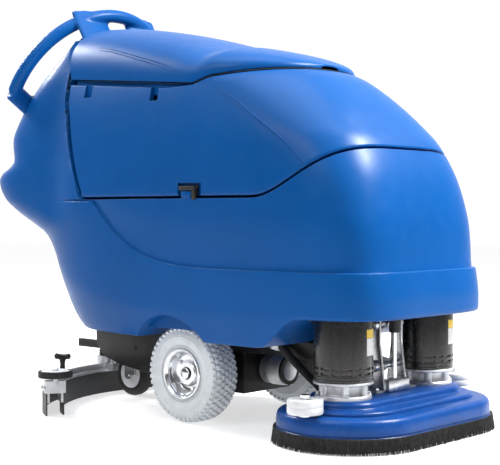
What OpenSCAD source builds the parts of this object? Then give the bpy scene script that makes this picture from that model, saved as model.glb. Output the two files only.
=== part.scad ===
// Walk-behind floor scrubber-dryer. +X is forward, +Y is the machine's left, +Z is up.
// The origin lies on the floor under the middle of the machine's bounding box.

/* [Body shells] */
// Wall of the moulded plastic shells
wall = 9; // [6:1:14]
// Half width of the body at its middle
body_half = 300; // [290:1:310]
// Depth of the step under the style line
style_step = 5; // [0:1:8]
// Gap between neighbouring shells
shell_gap = 5; // [3:1:7]
// Points around each body outline
outline_points = 48; // [32:4:64]

/* [Drive wheels] */
// Outside diameter of a drive tyre
drive_wheel_d = 250; // [240:2:256]
// Width of a drive tyre
drive_tyre_w = 86; // [70:2:90]
// Distance between the two tyre centres
track = 400; // [390:2:404]
// Drive axle, forward of the origin
axle_x = 95; // [90:1:100]
// Radius of the drive axle
axle_r = 15; // [12:1:18]

/* [Caster] */
// Diameter of the rear caster wheel
caster_d = 125; // [110:1:130]
// Width of the caster tyre
caster_w = 38; // [30:1:42]
// Swivel axis of the caster, from the origin
caster_x = -305; // [-308:1:-300]
// Trail of the caster wheel behind its swivel axis
caster_trail = 40; // [35:1:42]

/* [Brush deck] */
// Middle of the brush deck, forward of the origin
deck_x = 553; // [550:1:556]
// Distance between the two brush axes
brush_pitch = 334; // [330:1:336]
// Diameter of each disc brush
brush_d = 278; // [260:2:280]
// End radius of the bristle skirt
skirt_r = 181; // [180:1:182]
// Height of the bristle skirt
skirt_h = 37; // [30:1:40]
// Diameter of a brush motor
motor_d = 138; // [120:1:140]
// Length of each lift link, between its pins
lift_length = 125; // [120:1:130]

/* [Squeegee] */
// Radius of the curved squeegee
squeegee_r = 430; // [425:1:435]
// Half angle that the squeegee spans
squeegee_half_angle = 64; // [56:1:65]
// Diameter of the squeegee's side rollers
side_roller_d = 90; // [80:2:94]

/* [Handle] */
// Radius of the handle hoop, to the middle of its bar
hoop_r = 270; // [260:1:272]
// Diameter of the handle bar
bar_d = 38; // [32:1:40]

/* [Hidden] */
$fn = 64;
eps = 0.01;
slip = 0.05;

// Heights and places that several pieces share
body_bottom = 215;
nose_bottom = 290;
front_x = 697;
tail_x = -734;
mid_x = 60;
style_z = 400;
axle_z = drive_wheel_d / 2;
wheel_y = track / 2;
brush_y = brush_pitch / 2;
deck_y = 140;
tier_r = skirt_r - 7;
deck_bottom = 30;
tier_low_top = 78;
tier_up_top = 105;
can_bottom = 145;
can_top = 322;
link_rise = -22;
link_root = [430, 288];
link_drop = 100;
caster_axle_z = caster_d / 2;
squeegee_x = -42;
swivel_x = -432;
nozzle_x = -474;
yoke_pivot = [-190, 158];
console_tilt = -45;
console_at = [-515, 0, 910];
hoop_at = [-555, 0, 875];
hoop_lean = 121;
steel = [0.55, 0.56, 0.58];
blue = [0.10, 0.25, 0.62];
black = [0.08, 0.08, 0.09];

// ---- Body surface: plan outlines that change with height ----

// Front, rear and width of the body at height z
front_table = [[0, 690], [325, front_x], [409, 686], [486, 674], [553, 660], [613, 643], [666, 620],
    [705, 598], [738, 570], [779, 532], [831, 476], [867, 428], [890, 380]];
rear_table = [[215, -370], [242, -400], [315, -432], [410, -468], [471, -516], [499, -566], [539, -640],
    [575, -700], [607, -728], [625, tail_x], [645, -715], [662, -672], [680, -648], [740, -660],
    [801, -626], [1020, -405]];
side_table = [[215, -18], [300, 0], [560, 0], [700, -4], [800, -16], [880, -35], [1020, -105]];
nose_table = [[450, 5.5], [570, 5], [700, 4], [800, 3], [880, 2.2]];
// Where the recovery tank's back face meets the column
seam_table = [[587, -233], [618, -248], [669, -266], [726, -282], [785, -298], [833, -313],
    [892, -321], [1040, -347]];

function front_of(z) = lookup(z, front_table);
function rear_of(z) = lookup(z, rear_table);
function half_of(z) = body_half + lookup(z, side_table);
function nose_of(z) = lookup(z, nose_table);
function seam_of(z) = lookup(z, seam_table);

// Bottom edge of the body, gap under the recovery tank and gap under the lid, along x
function ease(t) = t <= 0 ? 0 : t >= 1 ? 1 : t * t * (3 - 2 * t);
function bottom_edge(x) = body_bottom + (nose_bottom - body_bottom) * ease((x - 390) / 130);
function tank_edge(x) = 567 + 122 * ease((x - 385) / 270);
function lid_edge(x) = 872 - 0.09 * (x + 60) + 25 * ease((x - 150) / 75) + 0.21 * max(0, x - 225);

function side_sign(v) = v < 0 ? -1 : 1;
function angle_of(i) = 360 * (i + 0.5) / outline_points;
// One point of a rounded outline: squarer ends have a larger power
function outline_point(a, rear, front, half, mid, rear_power, front_power) =
    let (power = cos(a) >= 0 ? front_power : rear_power)
    let (reach = cos(a) >= 0 ? front - mid : mid - rear)
    [mid + side_sign(cos(a)) * reach * pow(abs(cos(a)), 2 / power),
        side_sign(sin(a)) * half * pow(abs(sin(a)), 2 / power)];

// A point and a ring of the whole body at height z, drawn in by inset
function body_point(i, z, inset = 0) = outline_point(angle_of(i), rear_of(z) + inset,
    front_of(z) - inset, half_of(z) - inset, mid_x, 4, nose_of(z));
function body_ring(z, inset = 0) = [for (i = [0 : outline_points - 1])
    let (p = body_point(i, z, inset)) [p[0], p[1], z]];
// Height at which the body's outline meets the line under the tank, found in small steps
function body_top(i, z = 567, steps = 16) = steps == 0 ? z :
    body_top(i, (z + tank_edge(body_point(i, z)[0])) / 2, steps - 1);

// The same for the tank: a point at height z, and the heights of its lower and upper edges
function tank_point(i, z, inset = 0) = outline_point(angle_of(i), seam_of(z) + inset,
    front_of(z) - inset, half_of(z) - inset, mid_x, 14, nose_of(z));
function tank_low(i, z = 572, steps = 16) = steps == 0 ? z :
    tank_low(i, (z + tank_edge(tank_point(i, z)[0]) + shell_gap) / 2, steps - 1);
function tank_high(i, z = 870, steps = 16) = steps == 0 ? z :
    tank_high(i, (z + lid_edge(tank_point(i, z)[0]) - shell_gap) / 2, steps - 1);
// A ring of the tank at the share s of the way up
function tank_ring(s, inset = 0, raise = 0) = [for (i = [0 : outline_points - 1])
    let (z = tank_low(i) * (1 - s) + tank_high(i) * s + raise, p = tank_point(i, z, inset))
    [p[0], p[1], z]];

// A closed skin through a list of rings with equal numbers of points
module loft(rings) {
    n = len(rings[0]);
    last = (len(rings) - 1) * n;
    start_cap = [for (k = [0 : n / 2 - 2]) each
        [[k, k + 1, n - 2 - k], [k, n - 2 - k, n - 1 - k]]];
    end_cap = [for (k = [0 : n / 2 - 2]) each
        [[last + k, last + n - 2 - k, last + k + 1], [last + k, last + n - 1 - k, last + n - 2 - k]]];
    sides = [for (r = [0 : len(rings) - 2]) for (k = [0 : n - 1]) each
        let (a = r * n + k, b = r * n + (k + 1) % n) [[a, a + n, b + n], [a, b + n, b]]];
    polyhedron(points = [for (r = rings) each r], faces = concat(start_cap, sides, end_cap),
        convexity = 10);
}

// ---- Small shared shapes ----

module at_y(y) { translate([0, y, 0]) children(); }
module both_sides() { children(); mirror([0, 1, 0]) children(); }
// A cylinder along Y, centred on the point
module rod_y(r, length, at) { translate(at) rotate([90, 0, 0]) cylinder(r = r, h = length, center = true); }
module rod_x(r, length, at) { translate(at) rotate([0, 90, 0]) cylinder(r = r, h = length, center = true); }
module block(size, at) { translate(at) cube(size, center = true); }
module hex_bolt(r, h) { cylinder(r = r, h = h, $fn = 6); }
// A slab with two round ends, lying across the machine
module racetrack(r, half_pitch, h) {
    for (s = [-1, 1]) translate([0, s * half_pitch, 0]) cylinder(r = r, h = h, $fn = 96);
    translate([-r, -half_pitch, 0]) cube([2 * r, 2 * half_pitch, h]);
}
module on_console(along, across) {
    translate(console_at) rotate([0, console_tilt, 0]) translate([along, across, 0]) children();
}
// A plain tube swept along a list of points, closed at both ends
function unit(v) = v / norm(v);
function heading(route, i) = unit(route[min(i + 1, len(route) - 1)] - route[max(i - 1, 0)]);
function tube_ring(route, i, r, sides) =
    let (d = heading(route, i), u = unit(cross(d, [0.31, 0.95, 0.05])), w = cross(d, u))
    [for (k = [0 : sides - 1]) let (a = 360 * (k + 0.5) / sides) route[i] + r * (cos(a) * u + sin(a) * w)];
module tube(route, r, sides = 12) {
    loft([for (i = [0 : len(route) - 1]) tube_ring(route, i, r, sides)]);
}

// ---- Blue shells ----

module lower_body() {
    upper = [for (s = [0.3, 0.6, 1]) [for (i = [0 : outline_points - 1])
        let (z = 500 + (body_top(i) - 500) * s, p = body_point(i, z)) [p[0], p[1], z]]];
    foot = [for (p = body_ring(body_bottom)) [p[0], p[1], bottom_edge(p[0])]];
    color(blue) difference() {
        loft(concat([foot, body_ring(300), body_ring(style_z), body_ring(style_z + 3, style_step),
            body_ring(450, style_step - 2), body_ring(500)], upper));
        // Battery compartment
        translate([-195, -262, 286]) cube([575, 524, 400]);
        // Front chamber of the solution tank
        translate([415, -200, 430]) cube([105, 400, 300]);
        // Bay over the brush motors and the deck's lift links
        translate([deck_x + 7, 0, 200]) racetrack(88, 160, 210);
        translate([390, -60, 200]) cube([165, 120, 210]);
        // Wheel arches
        both_sides() translate([axle_x, -body_half - 30, axle_z]) rotate([-90, 0, 0])
            cylinder(r = 152, h = 185);
    }
}

module rear_column() {
    levels = [567, 600, 625, 645, 662, 680, 740, 801, 870, 945, 1015];
    rings = [for (z = levels) [for (i = [0 : outline_points - 1])
        let (p = outline_point(angle_of(i), rear_of(z), seam_of(z) - shell_gap, half_of(z) - 25,
            -400, 4, 14)) [p[0], p[1], z]]];
    color(blue) difference() {
        union() {
            loft(rings);
            // Ears of the squeegee lever
            for (y = [108, 144]) translate([lever_pivot[0] - 22, y, lever_pivot[1] - 18]) cube([50, 8, 36]);
        }
        rod_y(5 + slip, 60, [lever_pivot[0], 130, lever_pivot[1]]);
        // Room for the vacuum motor and the electronics
        translate([-560, -190, 585]) cube([230, 380, 215]);
        // Flat seat of the console panel
        on_console(0, 0) translate([-150, -165, -6]) cube([300, 330, 100]);
        // Well under the switches and buttons
        on_console(0, 0) translate([-92, -122, -18]) cube([116, 244, 13]);
    }
}

module recovery_tank() {
    outer = [for (s = [0, 0.25, 0.5, 0.75, 1]) tank_ring(s)];
    color(blue) difference() {
        loft(concat(outer, [tank_ring(1, wall + 6), tank_ring(0.5, wall + 4), tank_ring(0, wall + 4, 14)]));
        // Recess of the side latch
        translate([latch_x - 36, -body_half - 20, 560]) cube([72, 31, 56]);
    }
}

// Half width and crown of the lid at x; its sides carry on from the tank's
function lid_half(x) = let (z = lid_edge(x), n = nose_of(z))
    let (t = max(0, (x - mid_x) / (front_of(z) - mid_x)))
    half_of(z) * pow(max(0, 1 - pow(t, n)), 1 / n);
function lid_crown(x) = 160 * pow(max(0, 1 - pow(max(0, (x + 330) / 720), 2)), 0.8);
// One arch of the lid, outside then inside, leaning back a little at the rear end
function lid_section(x, power = 2.5, arcs = 16) =
    let (w = lid_half(x), h = lid_crown(x), z = lid_edge(x))
    let (thin = x > 370 ? 0.1 : 0.965, lean = x < -300 ? 0.15 * h : 0)
    let (arc = [for (i = [0 : arcs]) let (a = 180 * i / arcs)
        [side_sign(cos(a)) * pow(abs(cos(a)), 2 / power), pow(abs(sin(a)), 2 / power)]])
    concat([for (p = arc) [x - lean * p[1], w * p[0], z + h * p[1]]],
        [for (i = [0 : arcs]) let (p = arc[arcs - i])
            [x - lean * p[1], thin * w * p[0], z + (h - 8 * min(1, h / 20)) * p[1]]]);

module tank_lid() {
    stations = [-314, -290, -240, -160, -80, 0, 60, 120, 155, 190, 225, 260, 295, 325, 347, 362, 371, 376];
    color(blue) loft([for (x = stations) lid_section(x)]);
}

module lid_seal() {
    color(black) difference() {
        loft([tank_ring(1, 3), tank_ring(1, 3, 1.5)]);
        loft([tank_ring(1, 9, -1), tank_ring(1, 9, 6)]);
    }
}

// Knuckles that share one hinge line: the fixed pair outside, the moving one between
lid_line = [283, 858];
tank_line = [314, 556];
hinge_stations = [-170, 90];
module knuckle(r, length, x, line) {
    difference() {
        rod_x(r, length, [x, line[0], line[1]]);
        rod_x(3 + slip, length + 2, [x, line[0], line[1]]);
    }
}
module tank_side_hinges() {
    color(black) for (x = hinge_stations) {
        // Fixed halves of the lid hinges, with their pins
        for (s = [-1, 1]) {
            knuckle(7, 14, x + s * 17, lid_line);
            difference() {
                block([14, 18, 10], [x + s * 17, 272, 846]);
                rod_x(7, 20, [x + s * 17, lid_line[0], lid_line[1]]);
            }
        }
        rod_x(3, 50, [x, lid_line[0], lid_line[1]]);
        // Moving halves of the tank hinges
        knuckle(9, 22, x, tank_line);
        difference() {
            union() {
                block([22, 12, 50], [x, tank_line[0], tank_line[1] + 25]);
                block([22, 26, 30], [x, tank_line[0] - 7, tank_line[1] + 49]);
            }
            rod_x(9, 24, [x, tank_line[0], tank_line[1]]);
        }
    }
}
module lid_hinge_arms() {
    color(black) for (x = hinge_stations) {
        knuckle(7, 18, x, lid_line);
        difference() {
            union() {
                block([18, 8, 36], [x, lid_line[0], lid_line[1] + 18]);
                block([18, 36, 8], [x, lid_line[0] - 14, lid_line[1] + 32]);
            }
            rod_x(7, 20, [x, lid_line[0], lid_line[1]]);
        }
    }
}
module tank_hinge_blocks() {
    color(black) for (x = hinge_stations) {
        for (s = [-1, 1]) {
            knuckle(9, 16, x + s * 20, tank_line);
            difference() {
                block([16, 24, 40], [x + s * 20, 304, 534]);
                rod_x(9, 22, [x + s * 20, tank_line[0], tank_line[1]]);
            }
        }
        rod_x(3, 58, [x, tank_line[0], tank_line[1]]);
    }
}

latch_x = 176;
latch_line = [-294, 594];
module tank_latch() {
    color(black) {
        rod_x(3, 68, [latch_x, latch_line[0], latch_line[1]]);
        block([40, 13, 6], [latch_x, latch_line[0] - 6, latch_line[1]]);
        block([52, 4, 50], [latch_x, latch_line[0] - 10.5, latch_line[1] - 20]);
    }
}

module float_cage() {
    color("white") translate([-150, 0, 700]) {
        difference() {
            cylinder(r = 34, h = 130);
            translate([0, 0, 6]) cylinder(r = 30, h = 118);
            for (a = [0, 60, 120]) rotate([0, 0, a]) translate([0, 0, 65]) cube([80, 18, 96], center = true);
        }
        translate([0, 0, 130 - eps]) cylinder(r = 22, h = 20);
    }
    color("white") translate([-150, 0, 650]) cylinder(r = 16, h = 50 + eps);
    color("white") translate([-150, 0, 586]) cylinder(r = 30, h = 64 + eps);
}

module float_ball() {
    color("red") translate([-150, 0, 735]) sphere(r = 27);
}

// ---- Chassis and what it carries ----

module chassis_frame() {
    color(black) difference() {
        union() {
            // Two rails and their cross members under the body
            both_sides() translate([-300, 80, 176]) cube([740, 28, 39]);
            for (x = [-215, 250]) translate([x, -80, 176]) cube([50, 160, 39]);
            // Ears of the deck's lift links, each on a stub from its rail
            both_sides() {
                translate([395, 24, 150]) cube([60, 12, 150]);
                translate([395, 36 - eps, 176]) cube([45, 44 + 2 * eps, 39]);
            }
            // Brackets of the squeegee yoke
            both_sides() {
                translate([yoke_pivot[0] - 18, 130, 142]) cube([36, 8, 73]);
                translate([yoke_pivot[0] - 18, 100, 176]) cube([36, 34, 39]);
            }
            // Caster plate with its swivel pin and bolts
            translate([caster_x - 55, -80, 176]) cube([110, 160, 39]);
            translate([caster_x, 0, 152]) cylinder(r = 12, h = 26);
            for (x = [-38, 38]) for (y = [-38, 38]) translate([caster_x + x, y, 170]) hex_bolt(7, 8);
        }
        for (dz = [0, -link_drop]) rod_y(8 + slip, 100, [link_root[0], 0, link_root[1] + dz]);
        rod_y(7 + slip, 400, [yoke_pivot[0], 0, yoke_pivot[1]]);
    }
}

module battery_pack() {
    color("dimgray") for (i = [0 : 2]) for (s = [-1, 1]) {
        translate([-180 + i * 188, s < 0 ? -238 : 8, 286]) cube([176, 230, 238]);
        for (dx = [40, 136]) translate([-180 + i * 188 + dx, s * 122, 524 - eps]) cylinder(r = 11, h = 16);
    }
}

module drive_unit() {
    color("silver") {
        difference() {
            translate([axle_x - 75, -90, 66]) cube([150, 180, 110]);
            rod_y(axle_r - 2, 200, [axle_x, 0, axle_z]);
        }
        both_sides() difference() {
            rod_y(46, 46, [axle_x, 113, axle_z]);
            rod_y(axle_r - 2, 60, [axle_x, 113, axle_z]);
        }
        rod_x(37, 80, [axle_x + 115 - eps, 0, 124]);
    }
    color(steel) {
        rod_y(axle_r - 2, 272, [axle_x, 0, axle_z]);
        both_sides() rod_y(axle_r, 92, [axle_x, 182, axle_z]);
    }
}

module vacuum_motor() {
    color("silver") translate([-460, 0, 586]) {
        cylinder(r = 72, h = 40);
        translate([0, 0, 40 - eps]) cylinder(r = 60, h = 75);
        translate([0, 0, 115 - 2 * eps]) cylinder(r = 32, h = 40);
    }
    color(black) translate([-400, -20, 592]) cube([60, 40, 30]);
}

module controller_box() {
    color("gray") {
        translate([-520, 95, 590]) cube([150, 85, 120]);
        for (i = [0 : 5]) translate([-510 + i * 24, 98, 710 - eps]) cube([8, 76, 14]);
    }
}

// Electric lift: a fixed housing, and a rod that the deck pushes up into it
actuator_x = 577;
module lift_actuator() {
    color(black) difference() {
        translate([actuator_x, 0, 245]) cylinder(r = 12.5, h = 165);
        translate([actuator_x, 0, 244]) cylinder(r = 9.5, h = 156);
    }
}
module actuator_rod() { color(steel) translate([actuator_x, 0, 135]) cylinder(r = 6, h = 200); }

// ---- Wheels: tyre, rim and nuts, built at the origin with the axis along Y ----

module tyre(d, w) {
    color("gainsboro") rotate([90, 0, 0]) rotate_extrude($fn = 96) difference() {
        translate([d / 2 - w / 2, 0]) intersection() {
            union() { circle(r = w / 2); translate([-w / 2, -w / 2]) square([w * 0.8, w]); }
            translate([-w / 2, -w / 2]) square([w, w]);
        }
        translate([0, -w]) square([58, 2 * w]);
    }
}
module rim() {
    color(steel) difference() {
        rotate([90, 0, 0]) rotate_extrude($fn = 96)
            polygon([[axle_r + slip, -34], [34, -34], [40, -12], [48, -14], [58, -35], [58, 35], [50, 39],
                [47, 14], [36, 6], [30, 20], [axle_r + slip, 20]]);
        // Seats of the wheel nuts
        nuts();
    }
}
module nuts() {
    color(steel) {
        for (a = [0 : 72 : 288]) rotate([0, a, 0]) translate([41, -8, 0]) rotate([90, 0, 0]) hex_bolt(5, 8);
    }
}
module place_wheel(side) { translate([axle_x, side * wheel_y, axle_z]) scale([1, -side, 1]) children(); }

module caster_fork() {
    gap = caster_w / 2 + 3;
    color(steel) translate([caster_x, 0, 0]) {
        difference() {
            union() {
                translate([0, 0, 146]) cylinder(r = 30, h = 20);
                translate([-caster_trail - 14, -gap - 5, 138])
                    cube([caster_trail + 34, 2 * gap + 10, 8 + eps]);
                for (s = [-1, 1]) translate([-caster_trail, s * (gap + 2.5), 0]) {
                    translate([-14, -2.5, caster_axle_z]) cube([42, 5, 78]);
                    rod_y(14, 5, [0, 0, caster_axle_z]);
                }
            }
            translate([0, 0, 151]) cylinder(r = 12 + slip, h = 20);
            translate([0, 0, 138]) cylinder(r = 5, h = 30);
        }
        rod_y(6, 2 * gap + 16, [-caster_trail, 0, caster_axle_z]);
    }
}
module caster_tyre() {
    color(black) translate([caster_x - caster_trail, 0, caster_axle_z]) rotate([90, 0, 0]) rotate_extrude()
        difference() {
            union() {
                translate([30, -caster_w / 2]) square([caster_d / 2 - 38, caster_w]);
                translate([30, -caster_w / 2 + 8]) square([caster_d / 2 - 30, caster_w - 16]);
                for (s = [-1, 1]) translate([caster_d / 2 - 8, s * (caster_w / 2 - 8)]) circle(r = 8);
            }
            translate([0, -50]) square([40, 100]);
        }
}
module caster_hub() {
    color("lightgray") translate([caster_x - caster_trail, 0, caster_axle_z]) rotate([90, 0, 0])
        difference() {
            cylinder(r = 40, h = caster_w - 2, center = true);
            cylinder(r = 6 + slip, h = 60, center = true);
        }
}

// ---- Brush deck ----

module deck_lower() {
    color(blue) translate([deck_x, 0, 0]) difference() {
        translate([0, 0, deck_bottom]) racetrack(tier_r, deck_y, tier_low_top - deck_bottom);
        translate([0, 0, deck_bottom - 1]) racetrack(tier_r - 6, deck_y, 37);
        both_sides() translate([0, brush_y, 0]) cylinder(r = 16, h = 200);
    }
}
module deck_upper() {
    color(blue) translate([deck_x, 0, tier_low_top]) difference() {
        union() {
            racetrack(88, 158, tier_up_top - tier_low_top);
            translate([-60, -150, 0]) cube([130, 300, 20]);
            // Hump over the solution feed
            translate([-95, -120, 0]) cylinder(r = 34, h = 24);
        }
        both_sides() translate([0, brush_y, -1]) cylinder(r = 16, h = 60);
    }
}
module bristle_skirt() {
    color(black) translate([deck_x, 0, 0]) difference() {
        racetrack(skirt_r, deck_y, skirt_h);
        translate([0, 0, -1]) racetrack(tier_r, deck_y, skirt_h + 2);
    }
}
// Cans with rows of cooling slots in eight groups
module brush_motors() {
    color(black) both_sides() translate([deck_x, brush_y, can_bottom]) difference() {
        union() {
            cylinder(r = motor_d / 2, h = can_top - can_bottom);
            translate([0, 0, can_top - can_bottom - eps]) cylinder(r = 40, h = 12);
        }
        for (a = [0 : 45 : 315]) for (z = [14, 30]) rotate([0, 0, a + 22])
            translate([motor_d / 2, 0, z]) cube([8, 34, 6], center = true);
    }
}
module gearboxes() {
    h = can_bottom - tier_up_top;
    color("silver") both_sides() translate([deck_x, brush_y, tier_up_top]) difference() {
        union() {
            cylinder(r = 66, h = 9);
            cylinder(r = 50, h = h);
            translate([0, 0, h - 7]) cylinder(r = 66, h = 7);
            for (a = [45 : 90 : 315]) rotate([0, 0, a]) translate([57, 0, 9 - eps]) hex_bolt(6, 8);
        }
        translate([0, 0, -1]) cylinder(r = 10 + slip, h = 33);
    }
}
module brush(side) {
    translate([deck_x, side * brush_y, 0]) {
        color("gray") translate([0, 0, 34]) cylinder(r = brush_d / 2, h = 14, $fn = 96);
        color(steel) translate([0, 0, 48 - eps]) cylinder(r = 10, h = 84);
        color(blue) difference() {
            cylinder(r = brush_d / 2 - 3, h = 34 + eps, $fn = 96);
            translate([0, 0, -1]) cylinder(r = 62, h = 36);
        }
    }
}
module brush_right() { brush(-1); }
module brush_left() { brush(1); }

// Steel tower between the motors: two plates, a base, a pivot boss at each link
tower_pivot = link_root + [sqrt(lift_length * lift_length - link_rise * link_rise), link_rise];
// The deck rises straight, so each pin slides a little fore and aft in a slot
pin_slot = [-1.8, 2.6];
module pin_slots(x, z) {
    for (dx = pin_slot) rod_y(8.5, 130, [x + dx, 0, z]);
    translate([x + pin_slot[0], -65, z - 8.5]) cube([pin_slot[1] - pin_slot[0], 130, 17]);
}
module lift_tower() {
    color(steel) difference() {
        union() {
            both_sides() {
                translate([tower_pivot[0] - 32, 40, tier_up_top]) cube([64, 7, 185]);
                translate([tower_pivot[0] - 32, 46, tier_up_top]) cube([64, 34, 7]);
                for (dx = [-18, 18]) translate([tower_pivot[0] + dx, 66, tier_up_top + 6]) hex_bolt(7, 6);
                for (dz = [0, -link_drop]) rod_y(13, 8, [tower_pivot[0], 50, tower_pivot[1] + dz]);
            }
            translate([tower_pivot[0] + 8, -41, tier_up_top]) cube([32, 82, 30]);
        }
        for (dz = [0, -link_drop]) pin_slots(tower_pivot[0], tower_pivot[1] + dz);
    }
}
// A pair of flat arms on two cross pins
module link(root, tip) {
    reach = tip - root;
    tilt = atan2(reach[1], reach[0]);
    both_sides() translate([root[0], 18, root[1]]) rotate([0, -tilt, 0]) {
        translate([0, -4, -11]) cube([norm(reach), 8, 22]);
        rod_y(14, 8, [0, 0, 0]);
        rod_y(14, 8, [norm(reach), 0, 0]);
    }
    rod_y(8, 84, [root[0], 0, root[1]]);
    rod_y(8, 114, [tip[0], 0, tip[1]]);
}
module upper_link() { color(steel) link(link_root, tower_pivot); }
module lower_link() { color(steel) link(link_root - [0, link_drop], tower_pivot - [0, link_drop]); }

// Rollers that keep the deck's ends off the walls
roller_at = [deck_x, 305];
roller_z = 84;
roller_h = 34;
module bumper_roller(side) {
    color("lightgray") translate([roller_at[0], side * roller_at[1], roller_z]) difference() {
        cylinder(r = 41, h = roller_h);
        translate([0, 0, -1]) cylinder(r = 7 + slip, h = roller_h + 2);
    }
}
module bumper_roller_right() { bumper_roller(-1); }
module bumper_roller_left() { bumper_roller(1); }
module bumper_rollers_bolts() {
    color(steel) both_sides() translate([roller_at[0], roller_at[1], 0]) {
        translate([0, 0, tier_low_top]) hex_bolt(13, roller_z - tier_low_top - 1);
        translate([0, 0, tier_low_top]) cylinder(r = 7, h = roller_z + roller_h + 2 - tier_low_top);
        translate([0, 0, roller_z + roller_h + 1]) hex_bolt(12, 8);
    }
}

// Corrugated hose from the tank outlet to the hump on the deck
solution_route = [[330, -130, 205], [345, -132, 195], [368, -135, 178], [395, -135, 158],
    [420, -132, 140], [438, -129, 127], [449, -126, 118], [453, -124, 113]];
module solution_hose() { color(black) tube(solution_route, 10, 12); }
module hose_fitting() {
    color("silver") translate([322, -130, 196]) {
        rod_x(12, 16, [0, 0, 8]);
        translate([-10, 0, 0]) cylinder(r = 12, h = 22);
    }
}

// ---- Squeegee ----

// An arc band of the squeegee between two radii
module squeegee_band(inner, outer, z, h, half_angle) {
    translate([squeegee_x, 0, z]) rotate([0, 0, 180 - half_angle])
        rotate_extrude(angle = 2 * half_angle, $fn = 180) translate([inner, 0]) square([outer - inner, h]);
}
module at_squeegee_end(side, angle, radius) {
    translate([squeegee_x, 0, 0]) rotate([0, 0, 180 - side * angle]) translate([radius, 0, 0]) children();
}
module squeegee_body() {
    // Channel with a rib along its back
    channel = [[-24, 34], [-18, 34], [-18, 62], [12, 62], [12, 34], [18, 34], [18, 70], [2, 70], [2, 84],
        [-8, 84], [-8, 70], [-24, 70]];
    color("silver") difference() {
        union() {
            translate([squeegee_x, 0, 0]) rotate([0, 0, 180 - squeegee_half_angle])
                rotate_extrude(angle = 2 * squeegee_half_angle, $fn = 180)
                translate([squeegee_r, 0]) polygon(channel);
            translate([nozzle_x, 0, 66]) cylinder(r = 26, h = 40);
            translate([swivel_x - 30, -18, 66]) cube([42, 36, 19]);
            translate([swivel_x, 0, 75]) cylinder(r = 14, h = 44);
            for (s = [-1, 1]) at_squeegee_end(s, squeegee_half_angle - 1, squeegee_r - 3) {
                translate([-26, -16, 60]) cube([52, 32, 32]);
                translate([0, -s * 8, 80]) cylinder(r = 10, h = 20);
            }
        }
        translate([nozzle_x, 0, 50]) cylinder(r = 21, h = 70);
        translate([swivel_x, 0, 50]) cylinder(r = 8 + slip, h = 80);
    }
}
module squeegee_blades() {
    color([0.35, 0.33, 0.30]) {
        squeegee_band(squeegee_r - 28, squeegee_r - 24.1, 0, 60, squeegee_half_angle - 1);
        squeegee_band(squeegee_r + 18.1, squeegee_r + 22, 0, 60, squeegee_half_angle);
    }
}
module squeegee_knobs() {
    color(black) for (s = [-1, 1]) at_squeegee_end(s, 30, squeegee_r - 3) {
        translate([0, 0, 84 - 2 * eps]) cylinder(r = 7, h = 34);
        translate([0, 0, 118 - 3 * eps]) cylinder(r = 17, h = 12);
        rod_x(6, 46, [0, 0, 124]);
    }
}
module side_roller(side) {
    color(black) at_squeegee_end(side, squeegee_half_angle - 1, squeegee_r - 3)
        translate([0, -side * 8, 101]) difference() {
            cylinder(r = side_roller_d / 2, h = 18);
            translate([0, 0, -1]) cylinder(r = 5 + slip, h = 40);
        }
}
module side_roller_right() { side_roller(-1); }
module side_roller_left() { side_roller(1); }
module squeegee_yoke() {
    color(black) {
        both_sides() {
            translate([swivel_x - 15, 114, 146]) cube([yoke_pivot[0] - swivel_x + 20, 12, 22]);
            rod_y(14, 12, [yoke_pivot[0], 120, yoke_pivot[1]]);
        }
        translate([swivel_x - 15, -116, 146]) cube([30, 232, 10]);
        translate([swivel_x, 0, 84]) cylinder(r = 8, h = 64);
        translate([swivel_x, 0, 120]) cylinder(r = 13, h = 28);
        rod_y(7, 284, [yoke_pivot[0], 0, yoke_pivot[1]]);
    }
}
// Hose from the squeegee's middle up into the tail of the column
vacuum_route = [[nozzle_x, 0, 88], [nozzle_x, 0, 120], [-480, 5, 155], [-496, 14, 200], [-514, 22, 255],
    [-530, 25, 310], [-548, 25, 370], [-572, 25, 430], [-600, 25, 476], [-616, 25, 498], [-622, 25, 508]];
module vacuum_hose() { color(black) tube(vacuum_route, 20, 12); }

// ---- Handle and controls ----

// A round strut between two points
module strut(a, b, r) {
    d = b - a;
    translate(a) rotate([0, acos(d[2] / norm(d)), atan2(d[1], d[0])]) cylinder(r = r, h = norm(d), $fn = 32);
}
module handle_hoop() {
    color(blue) {
        translate(hoop_at) rotate([0, hoop_lean, 0]) rotate([0, 0, 90])
            rotate_extrude(angle = 180, $fn = 96) translate([hoop_r, 0]) circle(d = bar_d, $fn = 32);
        // Lower spokes to the column's shoulders
        both_sides() {
            translate(hoop_at + [0, hoop_r, 0]) sphere(r = bar_d / 2 + 1, $fn = 32);
            strut(hoop_at + [0, hoop_r, 0], hoop_at + [-45, hoop_r - 62, -75], bar_d / 2 - 1);
        }
        // Upper spokes to the top of the column
        both_sides() translate([-396, 104, 1046]) rotate([0, -32, 0]) cube([26, 78, 108], center = true);
    }
}
module console_panel() {
    color(black) on_console(0, 0) translate([-118, -158, -6]) difference() {
        cube([236, 316, 8]);
        translate([50, 60, -1]) cylinder(r = 12 + slip, h = 20);
        translate([50, 256, -1]) cylinder(r = 14 + slip, h = 20);
        translate([110, 256, -1]) cylinder(r = 9 + slip, h = 20);
        for (i = [0 : 2]) translate([120, 70 + i * 40, -1]) cylinder(r = 10 + slip, h = 20);
        // Sunk window of the battery gauge
        translate([168, 98, 5]) cube([46, 120, 10]);
    }
    // Ears of the drive bail
    color(black) difference() {
        for (y = [-154, 146]) on_console(bail_along - 9, y) translate([0, 0, 2 - eps]) cube([18, 8, 30]);
        on_console(bail_along, 0) rod_y(5 + slip, 330, [0, 0, bail_height]);
    }
}
module control(along, across, r, h, depth = 6) {
    on_console(along - 118, across - 158) translate([0, 0, -depth + 1]) cylinder(r = r, h = h + depth - 1);
}
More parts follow.
